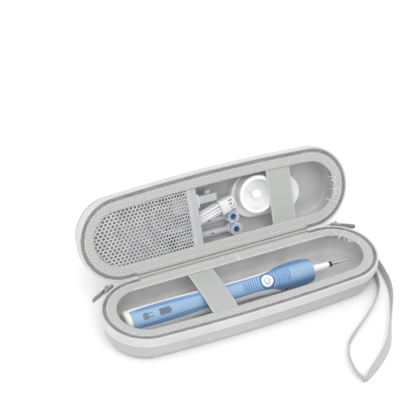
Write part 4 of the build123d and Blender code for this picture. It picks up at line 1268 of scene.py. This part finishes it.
def tufts(name, head, rings, material, low, high):
    bm = bmesh.new()
    bmesh.ops.create_cone(
        bm, cap_ends=True, segments=8, radius1=0.46 * MM, radius2=0.6 * MM, depth=(high - low) * MM,
        matrix=Matrix.Translation((0, 0, (high + low) / 2 * MM)),
    )
    spots = []
    x, y = HEADS[head]
    for reach, count in rings:
        for i in range(count):
            angle = 2 * math.pi * (i + 0.5 * (count % 2)) / count
            lean = Matrix.Rotation(0.02 * reach, 4, Vector((-math.sin(angle), math.cos(angle), 0)))
            place = Vector((x + reach * math.cos(angle), y + reach * math.sin(angle), 0)) * MM
            root = Matrix.Translation((0, 0, low * MM))
            spots.append(Matrix.Translation(place) @ root @ lean @ root.inverted())
    row_of(bm, geometry(bm), spots)
    return finished(bm, name, material, LID_PLACE, body=f"brush_disc_{head}", merge=0)


for head in HEADS:
    outer = tufts(f"head {head} white tufts", head, TUFT_RINGS[2:], NYLON, TUFT_ROOT, WHITE_TIP)
    tufts(f"head {head} blue tufts", head, TUFT_RINGS[:2], BLUE_NYLON, TUFT_ROOT, BLUE_TIP)
    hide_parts(f"head_{head}_bristles")

# Painted shade: a short near-black bead on each stem stands for the shade inside its slot.
LID_DOWN = (LID_PLACE.to_3x3() @ Vector((0, 0, -1))).normalized()
marks = []
for head, x in ((1, -3.5), (2, -2.4)):
    stem = surface_of(f"head_{head}_stem")
    y = HEADS[head][1]
    marks.append([drop(stem, in_lid(x + i, y, 24), LID_DOWN, 0.02 * MM) for i in (-1.2, 0, 1.2)])
bead("stem slot shade", marks, 0.42 * MM, SLOT_SHADE, "lid", sides=1)
print("tufts on a head", sum(count for _, count in TUFT_RINGS))

# %% [markdown]
# ## Seams of the charger
# The cup is a separate moulding pressed into the base, so a fine joint line runs round it.

# %% Joint line of the cup
CUP_X = 37.8
CUP_Y = 5.4
CUP_REACH = 16.02
ring = [2 * math.pi * i / 96 for i in range(96)]
cup_line = [in_lid(CUP_X + CUP_REACH * math.cos(a), CUP_Y + CUP_REACH * math.sin(a), 19.2) for a in ring]
JOINT_SHADOW = moulded("joint_shadow", "#b9bbbe", "#a9abae", 0.6)
bead("cup joint line", [cup_line], 0.1 * MM, JOINT_SHADOW, "lid", closed=True)
print("joint line, all round:", round(2 * math.pi * CUP_REACH), "mm")

# %% [markdown]
# ## Floor and light
# The floor is a large pale disc. One wide lamp from the front left gives the shadows their side, a weaker
# one from the back lifts the edges, and the even white surroundings keep all shadows soft.

# %% Floor, surroundings and lamps
bm = bmesh.new()
bmesh.ops.create_circle(bm, cap_ends=True, segments=96, radius=4.0)
bmesh.ops.translate(bm, verts=bm.verts, vec=(0, 0, -0.0002))
FLOOR_PAPER, _, floor_shader = new_material("matt_white_paper", 0.9, "#fbfbfb")
floor_shader.inputs["Specular IOR Level"].default_value = 0.1
floor = finished(bm, "floor", FLOOR_PAPER, smooth=False)

world = bpy.data.worlds.new("light tent")
world.use_nodes = True
bpy.context.scene.world = world
tree = world.node_tree
background = tree.nodes["Background"]
path = add(tree, "ShaderNodeLightPath")
seen = path.outputs["Is Camera Ray"]
strength = add(tree, "ShaderNodeMapRange", {"Value": seen, "To Min": 0.86, "To Max": 1.0})
tree.links.new(strength.outputs["Result"], background.inputs["Strength"])
background.inputs["Color"].default_value = (1.0, 1.0, 1.0, 1.0)


def soft_sun(name, heading, angle, strength):
    """A wide, distant lamp; heading is where its light comes from."""
    data = bpy.data.lights.new(name, "SUN")
    data.angle = math.radians(angle)
    data.energy = strength
    lamp = new_object(name, data)
    lamp.rotation_euler = Vector(heading).to_track_quat("Z", "Y").to_euler()
    return lamp


soft_sun("key", (-0.25, -0.5, 1.0), 55, 1.15)
soft_sun("rim", (0.6, 0.5, 0.8), 70, 0.25)

# %% [markdown]
# ## Finish
# The colours are shown with the Standard view transform.

# %% Finish
bpy.context.scene.view_settings.view_transform = "Standard"
bpy.context.view_layer.update()
